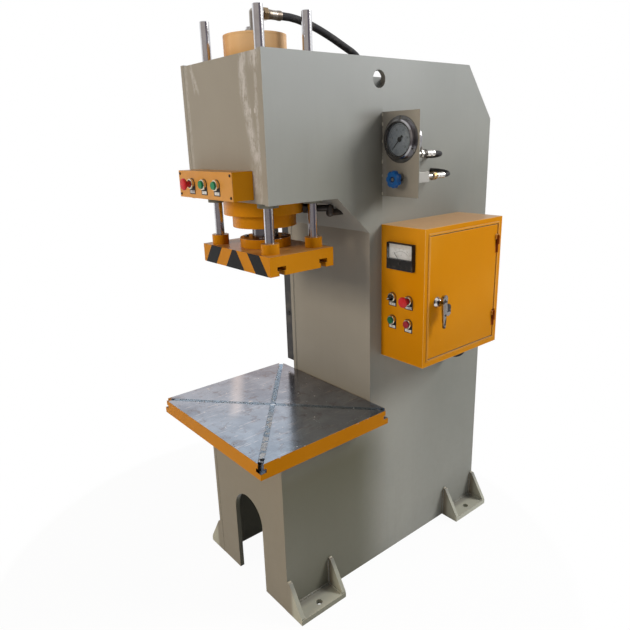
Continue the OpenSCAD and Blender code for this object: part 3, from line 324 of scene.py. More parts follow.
def enamel(name, colours, gloss, wear=0.5, grime=0.5, peel=1.0, shine=0.12):
    """Brushed or sprayed machine enamel: mottled, darker and browner low down, with grime and painted shade in
    corners, chipped at its edges.
    """
    fresh, faded, dirt_and_shade, chip = colours
    made = Finish(name, fresh, gloss, {"Specular IOR Level": shine, "Specular Tint": fresh})
    broad = made.noise(2.6, 3, 0.5, twist=0.4)
    fine = made.noise(38, 5, 0.65)
    runs = made.noise(1, 4, 0.6, along=(34, 34, 1.7))
    made.coat(broad.rise(0.35, 0.68) * 0.55, faded)
    made.coat(runs.rise(0.55, 0.8) * 0.1, faded)
    # Darker and browner towards the bottom and along runs.
    low = (1.1 - made.z).rise(0.0, 1.1)
    made.coat((low * 0.3 + runs.rise(0.5, 0.72) * 0.08) * (fine * 0.8 + 0.5) * grime, dirt_and_shade)
    # Grime and painted shade: darker deep in corners.
    made.coat(made.corners(0.05).rise(0.45, 0.95) * (fine * 0.6 + 0.35) * grime, dirt_and_shade)
    lying = made.facing("Z").rise(0.75, 0.95)
    made.coat(lying * (fine * 0.7 + 0.15) * 0.6, paint(150, 142, 126))
    scuff = made.noise(7, 6, 0.7, along=(1, 1, 3), twist=1.2).rise(0.66, 0.7)
    made.coat(scuff * fine.rise(0.4, 0.6) * 0.35 * wear, faded)
    chips = made.edges(0.003) * made.noise(60, 4, 0.7).rise(0.56, 0.62)
    nicks = made.noise(110, 2, 0.5).rise(0.76, 0.77) * broad.rise(0.4, 0.7)
    gone = (chips * wear + nicks * wear * 0.7).clamp()
    made.coat(gone, chip)
    made.rough = gloss + fine * 0.14 + scuff * 0.1 - 0.05
    made.depth = 0.0004
    made.raise_by(made.noise(420, 2) * 0.25 * peel + broad * 0.6 - gone * 0.6)
    made.raise_by(made.noise(16, 3) * 1.4 * peel)
    return made


def metal(name, colour, rough, along=None, scale=300, tint=(0.2, 0.17, 0.13, 1.0), film=0.35):
    """Machined or plated metal with fine tool marks and a film of old oil."""
    made = Finish(name, colour, rough, {"Metallic": 1.0})
    marks = made.noise(scale, 3, 0.6, along=along)
    cloud = made.noise(22, 4, 0.6)
    made.coat(cloud.rise(0.4, 0.75) * film, tint)
    made.coat(made.corners(0.012).rise(0.5, 1.0) * 0.5, tint)
    made.rough = (marks * 0.16 + cloud * 0.16 + (rough - 0.14)).clamp()
    made.depth = 0.00006
    made.raise_by(marks)
    return made


def plastic(name, colour, rough, dust=0.12, grain=0.5):
    """Moulded plastic with a fine grain, a little dust and rubbed edges."""
    made = Finish(name, colour, rough, {"Specular IOR Level": 0.25})
    cloud = made.noise(70, 4, 0.6)
    made.coat(cloud.rise(0.45, 0.8) * dust, paint(150, 142, 130))
    made.coat(made.edges(0.0012) * cloud.rise(0.4, 0.6) * 0.35, paint(190, 182, 172))
    made.rough = rough + cloud * 0.15
    made.depth = 0.00008
    made.raise_by(made.noise(1600, 2) * grain)
    return made


def every_finish(tones):
    """Builds every finish once, by the slot or the word that it is known by."""
    orange = (*tones.orange, 1.0)
    made = {}
    for kind, rows in ((enamel, ENAMELS), (metal, METALS), (plastic, PLASTICS)):
        for slot, name, colour, rough, more in rows:
            made[slot] = kind(name, colour, rough, **more).done()
    made["orange_paint"] = made["cast_orange"] = enamel(
        "orange_enamel", (orange, ORANGE_FADED, BROWN_DIRT_AND_SHADE, PRIMER), 0.3,
        wear=0.35, grime=0.45, peel=0.7).done()
    slot_finish("slot_swarf")
    made.update({
        "frame_paint": frame_finish((*tones.grey, 1.0)), "cylinder_paint": cylinder_finish(),
        "cabinet_paint": cabinet_finish(orange), "platen_paint": platen_finish(),
        "flange_paint": flange_finish(), "table_paint": table_finish(),
        "clear_glass": glass_finish("window_glass"),
        "hose_rubber": hose_finish("hose_rubber", (0, 1, 1)),
        "side_hose_rubber": hose_finish("side_hose_rubber", (1, 1, 0)),
    })

    fitting = metal("hose_fitting", paint(178, 174, 168), 0.28, film=0.45)
    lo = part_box("top_fitting")[0]
    nut = (fitting.y - 0.0285).rise(0, 0.0006) * (fitting.y - 0.0436).fall(0, 0.0006)
    fitting.coat(nut * fitting.z.greater(lo.z + 0.03), paint(142, 122, 96))
    made["fitting_steel"] = fitting.done()
    lever = metal("lever_plating", paint(206, 204, 200), 0.12, film=0.2)
    # Painted dark reflections in patches on the plated lever.
    lever.coat(lever.noise(44, 2, 0.4, twist=0.6).rise(0.5, 0.57) * 0.8, paint(40, 40, 42))
    made["lever_chrome"] = lever.done()
    knob = plastic("blue_knob", paint(18, 84, 150), 0.36, dust=0.12)
    spindle = anchor("valve_turn")
    hub = (knob.x - spindle.x).near(0, 0.011) * (knob.z - spindle.z).near(0, 0.011)
    knob.coat(hub.rise(0.2, 0.3), paint(34, 32, 34))
    made["blue_plastic"] = knob.done()

    dial = Finish("dial_enamel", paint(128, 136, 146), 0.45)
    dial.coat(dial.noise(170, 4, 0.7).rise(0.5, 0.62) * 0.5, paint(92, 98, 106))
    dial.coat(dial.noise(60, 4, 0.6).rise(0.45, 0.7) * 0.4, paint(160, 166, 172))
    dial.raise_by(dial.noise(900, 2) * 0.3)
    made["dial_enamel"] = dial.done()
    needle = Finish("needle_enamel", paint(10, 10, 11), 0.4)
    needle.coat(needle.noise(500, 3).rise(0.4, 0.8) * 0.2, paint(70, 70, 72))
    made["needle_paint"] = needle.done()
    ink = Finish("print_ink", paint(128, 128, 130), 0.5)
    ink.coat(ink.noise(300, 3).rise(0.4, 0.7) * 0.3, paint(170, 170, 170))
    ink.done()
    return made


def frame_finish(fresh):
    """Grey enamel: filled head front, browner painted shade on front faces, and painted light and shade on the
    sides.
    """
    made = enamel("machine_grey_enamel",
                  (fresh, paint(168, 168, 162), paint(96, 88, 70), paint(205, 200, 190)),
                  0.38, wear=0.55, grime=0.6)
    x, y, z = made.x, made.y, made.z
    head_lo, head_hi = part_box("head_front_plate")
    made.coat(head_streaks(made), paint(222, 222, 226))
    flank = made.facing("X").abs().rise(0.8, 0.95)
    # Painted highlight: the sides paler towards the top of the head.
    made.coat(z.rise(head_hi.z - 0.36, head_hi.z + 0.05) * flank * 0.6, paint(190, 193, 194))
    # Painted shade: front faces darker and browner, more so low down.
    painted_front_shade = made.facing("Y").fall(-0.9, -0.4)
    made.coat(painted_front_shade * 0.5, paint(152, 138, 124))
    made.coat(painted_front_shade * z.fall(0.5, 0.75) * 0.4, paint(112, 100, 70))
    # Painted shade: the sides darker towards the back, less so on the head.
    painted_shade_behind = y.rise(0.3, 0.62) * z.fall(1.1, 1.7).max(0.45) * z.rise(-0.3, 0.7)
    made.coat(painted_shade_behind * flank * 0.6, paint(112, 114, 108))
    lo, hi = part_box("gauge_bracket")
    # Painted shadow of the gauge bracket on the side plate in front of it.
    painted_bracket_shadow = (y - lo.y).rise(-0.15, -0.01) * (lo.y - y).rise(-0.001, 0.0)
    painted_bracket_shadow = painted_bracket_shadow * z.rise(lo.z - 0.06, lo.z) * z.fall(hi.z - 0.02, hi.z + 0.02)
    made.coat(painted_bracket_shadow * flank * x.rise(0, 0.1) * 0.62, paint(86, 79, 66))
    # Painted shade: the head's sides darker low down near the front.
    painted_low_head_shade = z.fall(head_lo.z + 0.02, head_lo.z + 0.26) * y.rise(-0.2, 0.1) * y.fall(0.1, 0.5)
    made.coat(painted_low_head_shade * flank * 0.4, paint(112, 112, 100))
    bracket = (y - lo.y).rise(-0.001, 0) * (hi.y - y).rise(-0.001, 0) * (x - lo.x).rise(0.01, 0.02)
    made.coat(bracket * z.fall(lo.z + 0.05, hi.z) * 0.3, paint(96, 90, 80))
    made.coat(z.fall(0.06, 0.16) * x.abs().rise(0.22, 0.24) * 0.6, paint(196, 196, 180))
    # Painted shadow of the work table on the sides of the base.
    base_shade = z.fall(0.45, 0.62) * y.fall(0.16, 0.36) * flank
    made.coat(base_shade * (z.rise(0.1, 0.5) * 0.22 + 0.6), paint(86, 84, 66))
    return made.done()


def cylinder_finish():
    """Orange enamel, paler on the barrel above the head, with painted reflections in pale upright bands and a
    painted sheen on its side facing +X.
    """
    made = enamel("cylinder_enamel", ORANGE_COAT, 0.24, wear=0.3, grime=0.3, peel=0.4, shine=0.4)
    above = (made.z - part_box("head_front_plate")[1].z).rise(-0.04, 0.04)
    # Painted reflections in upright bands and a painted sheen on the +X side, over a paler coat.
    painted_reflection_bands = made.noise(13, 2, 0.5, along=(1, 1, 0.04)).rise(0.44, 0.64)
    painted_sheen = made.facing("X").rise(0.2, 0.9) * 0.5
    made.coat(above * (painted_reflection_bands * 0.55 + 0.3 + painted_sheen).clamp(), paint(238, 196, 148))
    return made.done()


def cabinet_finish(orange):
    """Orange enamel with painted highlights along its edges, a top paler with dust and a painted sheen, and dark
    hinges.
    """
    made = enamel("cabinet_enamel", (orange, ORANGE_FADED, BROWN_DIRT_AND_SHADE, PRIMER), 0.3,
                  wear=0.25, grime=0.35, peel=0.6, shine=0.04)
    # Painted highlights along the edges.
    made.coat(made.edges(0.0026) * 0.75, paint(236, 196, 128))
    lo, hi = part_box("cabinet_door")
    middle = (lo.z + hi.z) / 2
    made.coat(made.z.fall(lo.z, middle) * 0.4, paint(176, 112, 6))
    # Dust and a painted sheen: the top paler.
    made.coat(made.facing("Z").rise(0.8, 0.95) * 0.35, paint(212, 196, 172))
    hinge = anchor("door_swing")
    barrel = (made.x - hinge.x).near(0, 0.011) * (made.y - hinge.y).near(0, 0.011)
    leaves = (made.z - middle).abs().near((hi.z - lo.z) / 2 - 65 * MM, 0.032).rise(0, 0.05)
    made.coat(barrel.rise(0.02, 0.2) * leaves, paint(140, 66, 16))
    return made.done()


def platen_finish():
    """Orange enamel, bare steel below and dark inside the slots."""
    made = enamel("platen_enamel", ORANGE_COAT, 0.3, wear=0.6, grime=0.5, peel=0.6)
    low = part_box("platen")[0].z
    under = (low + 0.0004 - made.z).rise(0, 0.0002)
    inside = made.y.abs().near(0.076, 0.0155) * made.z.fall(low + 0.026, low + 0.0265)
    made.coat(under, paint(70, 68, 66))
    made.coat(inside, paint(16, 14, 12))
    return made.done({"Metallic": under})


def flange_finish():
    """Orange enamel with a bare machined top."""
    made = enamel("rod_flange_enamel", ORANGE_COAT, 0.3, wear=0.6, grime=0.4, peel=0.6)
    steel = (made.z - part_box("rod_flange")[1].z).rise(-0.0008, -0.0004)
    made.coat(steel, BARE)
    return made.done({"Metallic": steel})


def head_streaks(grey):
    """Pale filler that shows in runs and patches on the front of the head."""
    lo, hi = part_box("head_front_plate")
    u = (grey.x - lo.x) / (hi.x - lo.x)
    v = (grey.z - lo.z) / (hi.z - lo.z)
    front = (lo.y + 0.004 - grey.y).rise(0, 0.002) * v.rise(-0.02, 0.01)
    sway = (grey.noise(9, 3, 0.5) - 0.5) * 0.05
    speckle = grey.noise(110, 5, 0.8, along=(1, 1, 0.3)).rise(0.42, 0.56)
    soft = grey.noise(26, 4, 0.7).rise(0.4, 0.62)
    middle = (0.75 - v).max(0) * 0.23 + 0.82
    main_run = (u - middle - sway).near(0, 0.07) * v.rise(0.2, 0.34)
    foot = (u - 0.9 - sway).near(0, 0.07) * v.near(0.16, 0.17)
    edge = (u.near(0.965, 0.03) * 0.6).max(u.near(0.95, 0.02) * v.near(0.66, 0.05) * 1.4)
    crown = u.near(0.95, 0.09) * v.rise(0.86, 0.97)
    left = (u + v * 0.46).near(0.56, 0.034) * v.rise(0.76, 0.84) * v.fall(0.94, 0.99)
    thin = (u + v * 0.13).near(0.248, 0.024) * v.rise(0.76, 0.84)
    heel = u.near(0.12, 0.09) * v.near(0.05, 0.07)
    strip = u.near(0.03, 0.035) * 0.5
    strong = main_run.max(foot * 0.9).max(crown).max(left).max(thin * 0.8)
    chips = u.near(0.885, 0.012).max(u.near(0.94, 0.014)) * v.near(0.625, 0.022)
    broken = strong * (soft * 0.55 + speckle * 0.85) + edge.max(heel).max(strip) * speckle
    return (broken + chips * 3).clamp() * front


def table_finish():
    """Bare ground steel on top and in the slots, orange enamel round the edges."""
    lo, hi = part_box("work_table")
    made = enamel("table_enamel_and_steel",
                  (DEEP_ORANGE, DEEP_FADED, BROWN_DIRT_AND_SHADE, paint(70, 62, 54)),
                  0.3, wear=0.9, grime=0.4, peel=0.6, shine=0.04)
    x, y, z = made.x, made.y, made.z
    # Painted shade: the side facing +X darker.
    made.coat(made.facing("X").rise(0.8, 0.95) * 0.5, paint(158, 96, 6))
    rim = (x.abs() - hi.x).rise(-0.0009, -0.0005).max((lo.y - y).rise(-0.0009, -0.0005))
    rim = rim.max((y - hi.y).rise(-0.0009, -0.0005)).max((lo.z - z).rise(-0.0009, -0.0005))
    fine = made.noise(140, 4, 0.7)
    left_corner = (x - lo.x + y - lo.y).fall(0.022, 0.034) * fine.rise(0.3, 0.45)
    rim = rim.max(left_corner)
    nibble = made.noise(90, 5, 0.7).rise(0.6, 0.63) * (z - hi.z).rise(-0.006, -0.0005)
    steel = 1 - rim * (1 - nibble)
    tone, worn = ground_steel(made)
    made.colour = made.mix(steel, made.colour, tone)
    made.rough = made.rough * (1 - steel) + worn * steel
    made.depth = 0.00012
    made.raise_by((fine * 0.5 + worn * 4) * steel)
    return made.done({"Metallic": steel})


def ground_steel(made):
    """Colour and roughness of the table's ground top: clouded, wiped and scratched."""
    x, y = made.x, made.y
    cloud = made.noise(6, 5, 0.62, twist=0.8)
    blotch = made.noise(24, 6, 0.72, twist=0.6)
    wiped = made.noise(5, 5, 0.65, along=(14, 1.6, 1), twist=1.6)
    scratches = made.noise(3, 5, 0.7, along=(60, 2.4, 1), twist=0.5)
    cuts = made.noise(2.4, 4, 0.6, along=(9, 70, 1), twist=0.4)
    wipe = (x * 0.55 + y * 0.835).near(-0.128, 0.035) * x.fall(-0.06, 0.02)
    tone = made.mix(cloud.rise(0.3, 0.7), paint(158, 176, 194), paint(186, 204, 222))
    tone = made.mix(blotch.rise(0.52, 0.68) * 0.45, tone, paint(132, 132, 138))
    tone = made.mix((wiped.rise(0.58, 0.66) * 0.5 + wipe * 0.6).clamp(), tone, paint(236, 238, 244))
    marks = scratches.rise(0.68, 0.71).max(cuts.rise(0.71, 0.73))
    tone = made.mix(marks * 0.7, tone, paint(240, 236, 228))
    pits = made.spots(60).fall(0.1, 0.16) * blotch.rise(0.5, 0.6)
    tone = made.mix(pits * 0.6, tone, paint(70, 68, 70))
    specks = made.spots(34).fall(0.05, 0.09) * cloud.rise(0.44, 0.5)
    tone = made.mix(specks, tone, paint(250, 250, 248))
    marks = marks.max(specks)
    worn = 0.1 + blotch * 0.1 + cloud * 0.06 + marks * 0.2
    return tone, worn


def slot_finish(name):
    """Packed swarf in the table's slots: white dashes to the front as painted glints, dark specks behind."""
    made = Finish(name, (0.5, 0.5, 0.5, 1.0), 0.3)
    tone, worn = ground_steel(made)
    forward = (made.x - made.y).rise(0.05, 0.2)
    dashes = made.noise(46, 4, 0.75)
    grime = made.noise(30, 5, 0.75)
    tone = made.mix(grime.rise(0.52, 0.62) * 0.25, tone, paint(116, 112, 114))
    flecks = dashes.rise(0.56, 0.6) * 0.6 * (made.x.fall(0.0, 0.1))
    # Painted glints: white dashes to the front and flecks on the left, for light caught in the slots.
    painted_glints = (dashes.rise(0.46, 0.52) * forward).max(flecks)
    tone = made.mix(painted_glints, tone, paint(236, 238, 244))
    made.colour = tone
    made.rough = worn + grime * 0.05
    made.depth = 0.00005
    made.raise_by(grime * 0.5 + dashes * 0.5)
    return made.done({"Metallic": 1 - painted_glints})


def glass_finish(name):
    """Thin clear window: it mirrors by its angle and is see-through elsewhere."""
    made = Finish(name, (0.95, 0.97, 0.97, 1.0), 0.04, {"Metallic": 1.0})
    gloss = made.node("ShaderNodeFresnel", None, {"IOR": 1.5})
    smear = made.noise(30, 4, 0.6).rise(0.5, 0.8)
    made.rough = smear * 0.1 + 0.03
    front = 1 - made.node("ShaderNodeNewGeometry", out="Backfacing")
    return made.done({"Alpha": ((gloss + smear * 0.04 + 0.02) * front).clamp()})


def hose_finish(name, lie):
    """Black rubber hose with its wire braid showing through as a crossed weave."""
    made = plastic(name, paint(34, 34, 38), 0.55, dust=0.3)
    along = made.x * lie[0] + made.y * lie[1] + made.z * lie[2]
    over = made.x * (lie[0] - 1) + made.y * lie[1] - made.z * lie[2]
    weave = (along * 900).sin() * (over * 900).sin()
    made.coat(weave.rise(0.2, 0.8) * 0.25, paint(74, 74, 80))
    made.depth = 0.0003
    made.raise_by(weave)
    return made.done()


# ---------- Shapes ----------


def stand(at, out):
    """A placement whose local Z points out and whose local Y points up, or back."""
    z = Vector(out)
    x = Vector(BACK if out in (UP, DOWN) else UP).cross(z)
    y = z.cross(x)
    return Matrix.Translation(at) @ Matrix((x, y, z)).transposed().to_4x4()


def turned(bm, profile, place, steps=32, loop=False):
    """Turns a list of (radius, height) round local Z."""
    rings = []
    for radius, height in profile:
        turns = [math.tau * i / steps for i in range(steps)] if radius else [0.0]
        points = [Vector((radius * math.cos(t), radius * math.sin(t), height)) for t in turns]
        rings.append([bm.verts.new(place @ point) for point in points])
    pairs = list(zip(rings, rings[1:]))
    if loop:
        pairs.append((rings[-1], rings[0]))
    for low, high in pairs:
        for i in range(steps):
            around = [low[i % len(low)], low[(i + 1) % len(low)],
                      high[(i + 1) % len(high)], high[i % len(high)]]
            bm.faces.new(list(dict.fromkeys(around)))


def swept(bm, path, radius, sides=10):
    """A tube along a path, with one radius or one for each point."""
    points = [Vector(point) for point in path]
    radii = radius if isinstance(radius, list) else [radius] * len(points)
    last = len(points) - 1
    side = (points[1] - points[0]).orthogonal().normalized()
    rings = []
    for i, point in enumerate(points):
        way = (points[min(i + 1, last)] - points[max(i - 1, 0)]).normalized()
        side = (side - way * side.dot(way)).normalized()
        up = way.cross(side)
        turns = [math.tau * k / sides for k in range(sides)]
        rings.append([bm.verts.new(point + (side * math.cos(t) + up * math.sin(t)) * radii[i])
                      for t in turns])
    for low, high in zip(rings, rings[1:]):
        for k in range(sides):
            bm.faces.new((low[k], low[(k + 1) % sides], high[(k + 1) % sides], high[k]))
    bm.faces.new(rings[0])
    bm.faces.new(rings[-1])


def block(bm, size, place, soft=0.0):
    """A box centred on the placement, with rounded edges if soft is given."""
    scale = Matrix.Diagonal((size[0], size[1], size[2], 1))
    verts = bmesh.ops.create_cube(bm, size=1.0, matrix=place @ scale)["verts"]
    if soft:
        edges = list({edge for vert in verts for edge in vert.link_edges})
        bmesh.ops.bevel(bm, geom=edges, offset=soft, segments=2, profile=0.5, affect="EDGES")


def plate(bm, outline, thickness, place):
    """Extrudes a flat outline from local Z 0 to its thickness."""
    low = [bm.verts.new(place @ Vector((u, v, 0))) for u, v in outline]
    high = [bm.verts.new(place @ Vector((u, v, thickness))) for u, v in outline]
    bm.faces.new(low)
    bm.faces.new(high)
    count = len(outline)
    for i in range(count):
        j = (i + 1) % count
        bm.faces.new((low[i], low[j], high[j], high[i]))


def letters(bm, text, size, place):
    """Stands flat figures or letters on the placement's face."""
    curve = bpy.data.curves.new("figures", "FONT")
    curve.body = text
    curve.size = size
    curve.align_x = "CENTER"
    curve.align_y = "CENTER"
    curve.extrude = 0.08 * MM
    curve.resolution_u = 2
    holder = bpy.data.objects.new("figures", curve)
    mesh = bpy.data.meshes.new_from_object(holder)
    mesh.transform(place)
    bm.from_mesh(mesh)
    bpy.data.objects.remove(holder)
    bpy.data.meshes.remove(mesh)
    bpy.data.curves.remove(curve)


def bead(bm, path, width, seed, pitch=4.5 * MM):
    """A weld bead: a rippled, slightly wandering rope along a straight or bent path."""
    rng = random.Random(seed)
    points, radii = [], []
    for start, end in zip(path, path[1:]):
        start, end = Vector(start), Vector(end)
        count = max(3, round((end - start).length / pitch * 2))
        for i in range(count):
            wander = Vector([rng.uniform(-1, 1) for _ in range(3)]) * width * 0.07
            points.append(start.lerp(end, i / count) + wander)
            radii.append(width * (0.5 if i % 2 else 0.43) * rng.uniform(0.92, 1.08))
    points.append(Vector(path[-1]))
    radii.append(width * 0.3)
    radii[0] = width * 0.3
    swept(bm, points, radii, 7)


def cap_screw(bm, place, head_d, head_h):
    """Socket-head screw standing on the placement."""
    r = head_d / 2
    turned(bm, [(0, -head_h * 0.3), (r * 0.86, -head_h * 0.3), (r * 0.86, 0), (r, 0),
                (r, head_h * 0.88), (r * 0.93, head_h), (r * 0.56, head_h)], place, 24)
    hexagon = r * 0.5
    turned(bm, [(hexagon, head_h), (hexagon, head_h * 0.45), (0, head_h * 0.4)], place, 6)
    turned(bm, [(r * 0.56, head_h), (hexagon * 0.9, head_h - 0.0002)], place, 24)


def pan_screw(bm, place, head_d, head_h, cross=True):
    """Pan-head screw with a crossed or plain slot."""
    r = head_d / 2
    turned(bm, [(0, -0.001), (r * 0.96, -0.001), (r, head_h * 0.3), (r * 0.86, head_h * 0.75),
                (r * 0.5, head_h), (0, head_h)], place, 20)
    slot = (r * 1.3, r * 0.26, head_h * 0.16)
    up = place @ Matrix.Translation((0, 0, head_h))
    block(bm, slot, up)
    if cross:
        block(bm, slot, up @ Matrix.Rotation(math.pi / 2, 4, "Z"))


def ribbed(bm, place, radius, length, rings):
    """A crimped ferrule: a sleeve pressed down in rings."""
    profile = [(radius * 0.7, 0), (radius * 0.94, 0), (radius, length * 0.03)]
    for i in range(rings):
        start = length * (0.12 + 0.76 * i / rings)
        step = length * 0.76 / rings
        profile += [(radius, start), (radius * 0.93, start + step * 0.25),
                    (radius * 0.93, start + step * 0.7), (radius, start + step * 0.95)]
    profile += [(radius, length * 0.97), (radius * 0.92, length), (radius * 0.7, length)]
    turned(bm, profile, place, 28)


def anchor(joint):
    """The pivot of one of the press's joints."""
    return Vector(next(row["pos_m"] for row in frame["joints"] if row["name"] == joint))


def middle(name):
    """The centre of a node's box, as three numbers."""
    return [(low + high) / 2 for low, high in zip(*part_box(name))]


def highest(name, y):
    """The highest point of a node in the plane at y."""
    return max(vert.co.z for vert in nodes[name].data.vertices if abs(vert.co.y - y) < 0.1 * MM)


def tick(bm, face, degrees, start, end, width):
    """A scale mark, its angle counted clockwise from straight up."""
    turn = face @ Matrix.Rotation(math.radians(-degrees), 4, "Z")
    half = width / 2
    plate(bm, [(-half, start), (half, start), (half, end), (-half, end)], 0.12 * MM, turn)


def arc(bm, face, inner, outer, start, end, steps=48):
    """A thin arc between two radii."""
    turns = [math.radians(start + (end - start) * i / steps) for i in range(steps + 1)]
    outline = [(inner * math.sin(t), inner * math.cos(t)) for t in turns]
    outline += [(outer * math.sin(t), outer * math.cos(t)) for t in reversed(turns)]
    plate(bm, outline, 0.1 * MM, face)


def scale(bm, face, half, marks, figures, leaning):
    """Prints 51 marks and 6 figures, spread from -half to half degrees.

    The long, middle and short marks each give their inner and outer radius and their
    width, the figures their radius, their height and the step from one to the next.
    """
    step = half / 25
    for i in range(51):
        inner, outer, width = marks[0 if i % 10 == 0 else 1 if i % 5 == 0 else 2]
        tick(bm, face, -half + i * step, inner * MM, outer * MM, width * MM)
    radius, height, count = figures
    for i in range(6):
        turn = math.radians(-half + i * step * 10)
        at = Vector((math.sin(turn), math.cos(turn), 0)) * radius * MM
        lean = Matrix.Rotation(-turn if leaning else 0, 4, "Z")
        letters(bm, str(i * count), height * MM, face @ Matrix.Translation(at) @ lean)


def add_object(name, data):
    made = bpy.data.objects.new(name, data)
    bpy.context.scene.collection.objects.link(made)
    return made


def add_mesh(name, bm, material):
    mesh = bpy.data.meshes.new(name)
    bm.to_mesh(mesh)
    bm.free()
    mesh.materials.append(material)
    return add_object(name, mesh)


def add_piece(name, bm, finish, body="root"):
    """Makes a named piece of a bmesh and lets it ride on a body of the press."""
    bmesh.ops.recalc_face_normals(bm, faces=bm.faces)
    for face in bm.faces:
        face.smooth = True
    for edge in bm.edges:
        edge.smooth = edge.calc_face_angle(0.0) < 0.6
    made = add_mesh(name, bm, bpy.data.materials[finish])
    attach(made, body)


def smooth_by_angle(degrees):
    """A modifier group that shades a joined mesh smooth up to an angle."""
    group = bpy.data.node_groups.new("smooth_by_angle", "GeometryNodeTree")
    for way in ("INPUT", "OUTPUT"):
        group.interface.new_socket("Geometry", in_out=way, socket_type="NodeSocketGeometry")
    made = [group.nodes.new(kind) for kind in (
        "NodeGroupInput", "GeometryNodeSetShadeSmooth", "GeometryNodeSetShadeSmooth",
        "NodeGroupOutput", "GeometryNodeInputMeshEdgeAngle", "FunctionNodeCompare")]
    faces, edges, angle, below = made[1], made[2], made[4], made[5]
    faces.domain = "FACE"
    edges.domain = "EDGE"
    below.operation = "LESS_THAN"
    below.inputs["B"].default_value = math.radians(degrees)
    for before, after in zip(made[:3], made[1:4]):
        group.links.new(before.outputs[0], after.inputs[0])
    group.links.new(angle.outputs["Unsigned Angle"], below.inputs["A"])
    group.links.new(below.outputs[0], edges.inputs["Shade Smooth"])
    return group


def dress(node, material, edge):
    """Gives a CAD node its finish, and broken edges as on the real part."""
    node.data.materials.clear()
    node.data.materials.append(material)
    for name, kind, settings in (
            ("join", "WELD", {"merge_threshold": 0.01 * MM}),
            ("plain_faces", "DECIMATE",
             {"decimate_type": "DISSOLVE", "angle_limit": math.radians(0.8)}),
            ("broken_edges", "BEVEL",
             {"width": edge, "segments": 2, "limit_method": "ANGLE",
              "angle_limit": math.radians(38)}),
            ("shading", "NODES", {"node_group": bpy.data.node_groups["smooth_by_angle"]}),
            ("even_faces", "WEIGHTED_NORMAL", {"keep_sharp": True, "weight": 100})):
        modifier = node.modifiers.new(name, kind)
        for key, value in settings.items():
            setattr(modifier, key, value)


# ---------- Settings ----------


class PressColours(PropertyGroup):
    """Paint and cap colours of the press."""

    grey: FloatVectorProperty(
        name="Frame grey", description="Enamel on the welded frame and the bracket",
        subtype="COLOR", size=3, min=0, max=1, default=paint(153, 154, 149)[:3])
    orange: FloatVectorProperty(
        name="Press orange", description="Enamel on the cylinder, platen, station and cabinet",
        subtype="COLOR", size=3, min=0, max=1, default=paint(211, 135, 8)[:3])


class PressSizes(PropertyGroup):
    """Small sizes of the dressing."""

    edge: FloatProperty(
        name="Broken edges", description="Width of the broken edges on plates",
        subtype="DISTANCE", unit="LENGTH", default=0.6 * MM, min=0)
    fine_edge: FloatProperty(
        name="Fine edges", description="Width of the broken edges on small parts",
        subtype="DISTANCE", unit="LENGTH", default=0.4 * MM, min=0)
    weld: FloatProperty(
        name="Weld width", description="Width of the weld beads on the frame",
        subtype="DISTANCE", unit="LENGTH", default=9 * MM, min=0.001)


class PressStage(PropertyGroup):
    """Light of the studio."""

    key: FloatProperty(
        name="Key lamp", description="Power of the soft key lamp, back right",
        subtype="POWER", unit="POWER", default=390, min=0)
    fill: FloatProperty(
        name="Front fill", description="Power of the warm lamp in front",
        subtype="POWER", unit="POWER", default=120, min=0)
    sky: FloatProperty(
        name="Room light", description="Level of the light from all round",
        subtype="FACTOR", default=0.26, min=0)


# ---------- Operators ----------


class PRESS_OT_finishes(Operator):
    """Paint, plate and mould every part of the press"""

    bl_idname = "press.finishes"
    bl_label = "Finishes"

    def execute(self, context):
        scene = context.scene
        sizes = scene.press_sizes
        smooth_by_angle(34)
        made = every_finish(scene.press_colours)
        for row in frame["record"]["subparts"]:
            name = row["node"]
            finish = made[OWN_FINISH.get(name, row["material_slot"])]
            dress(nodes[name], finish, sizes.edge if name in PLATES else sizes.fine_edge)
        return {"FINISHED"}


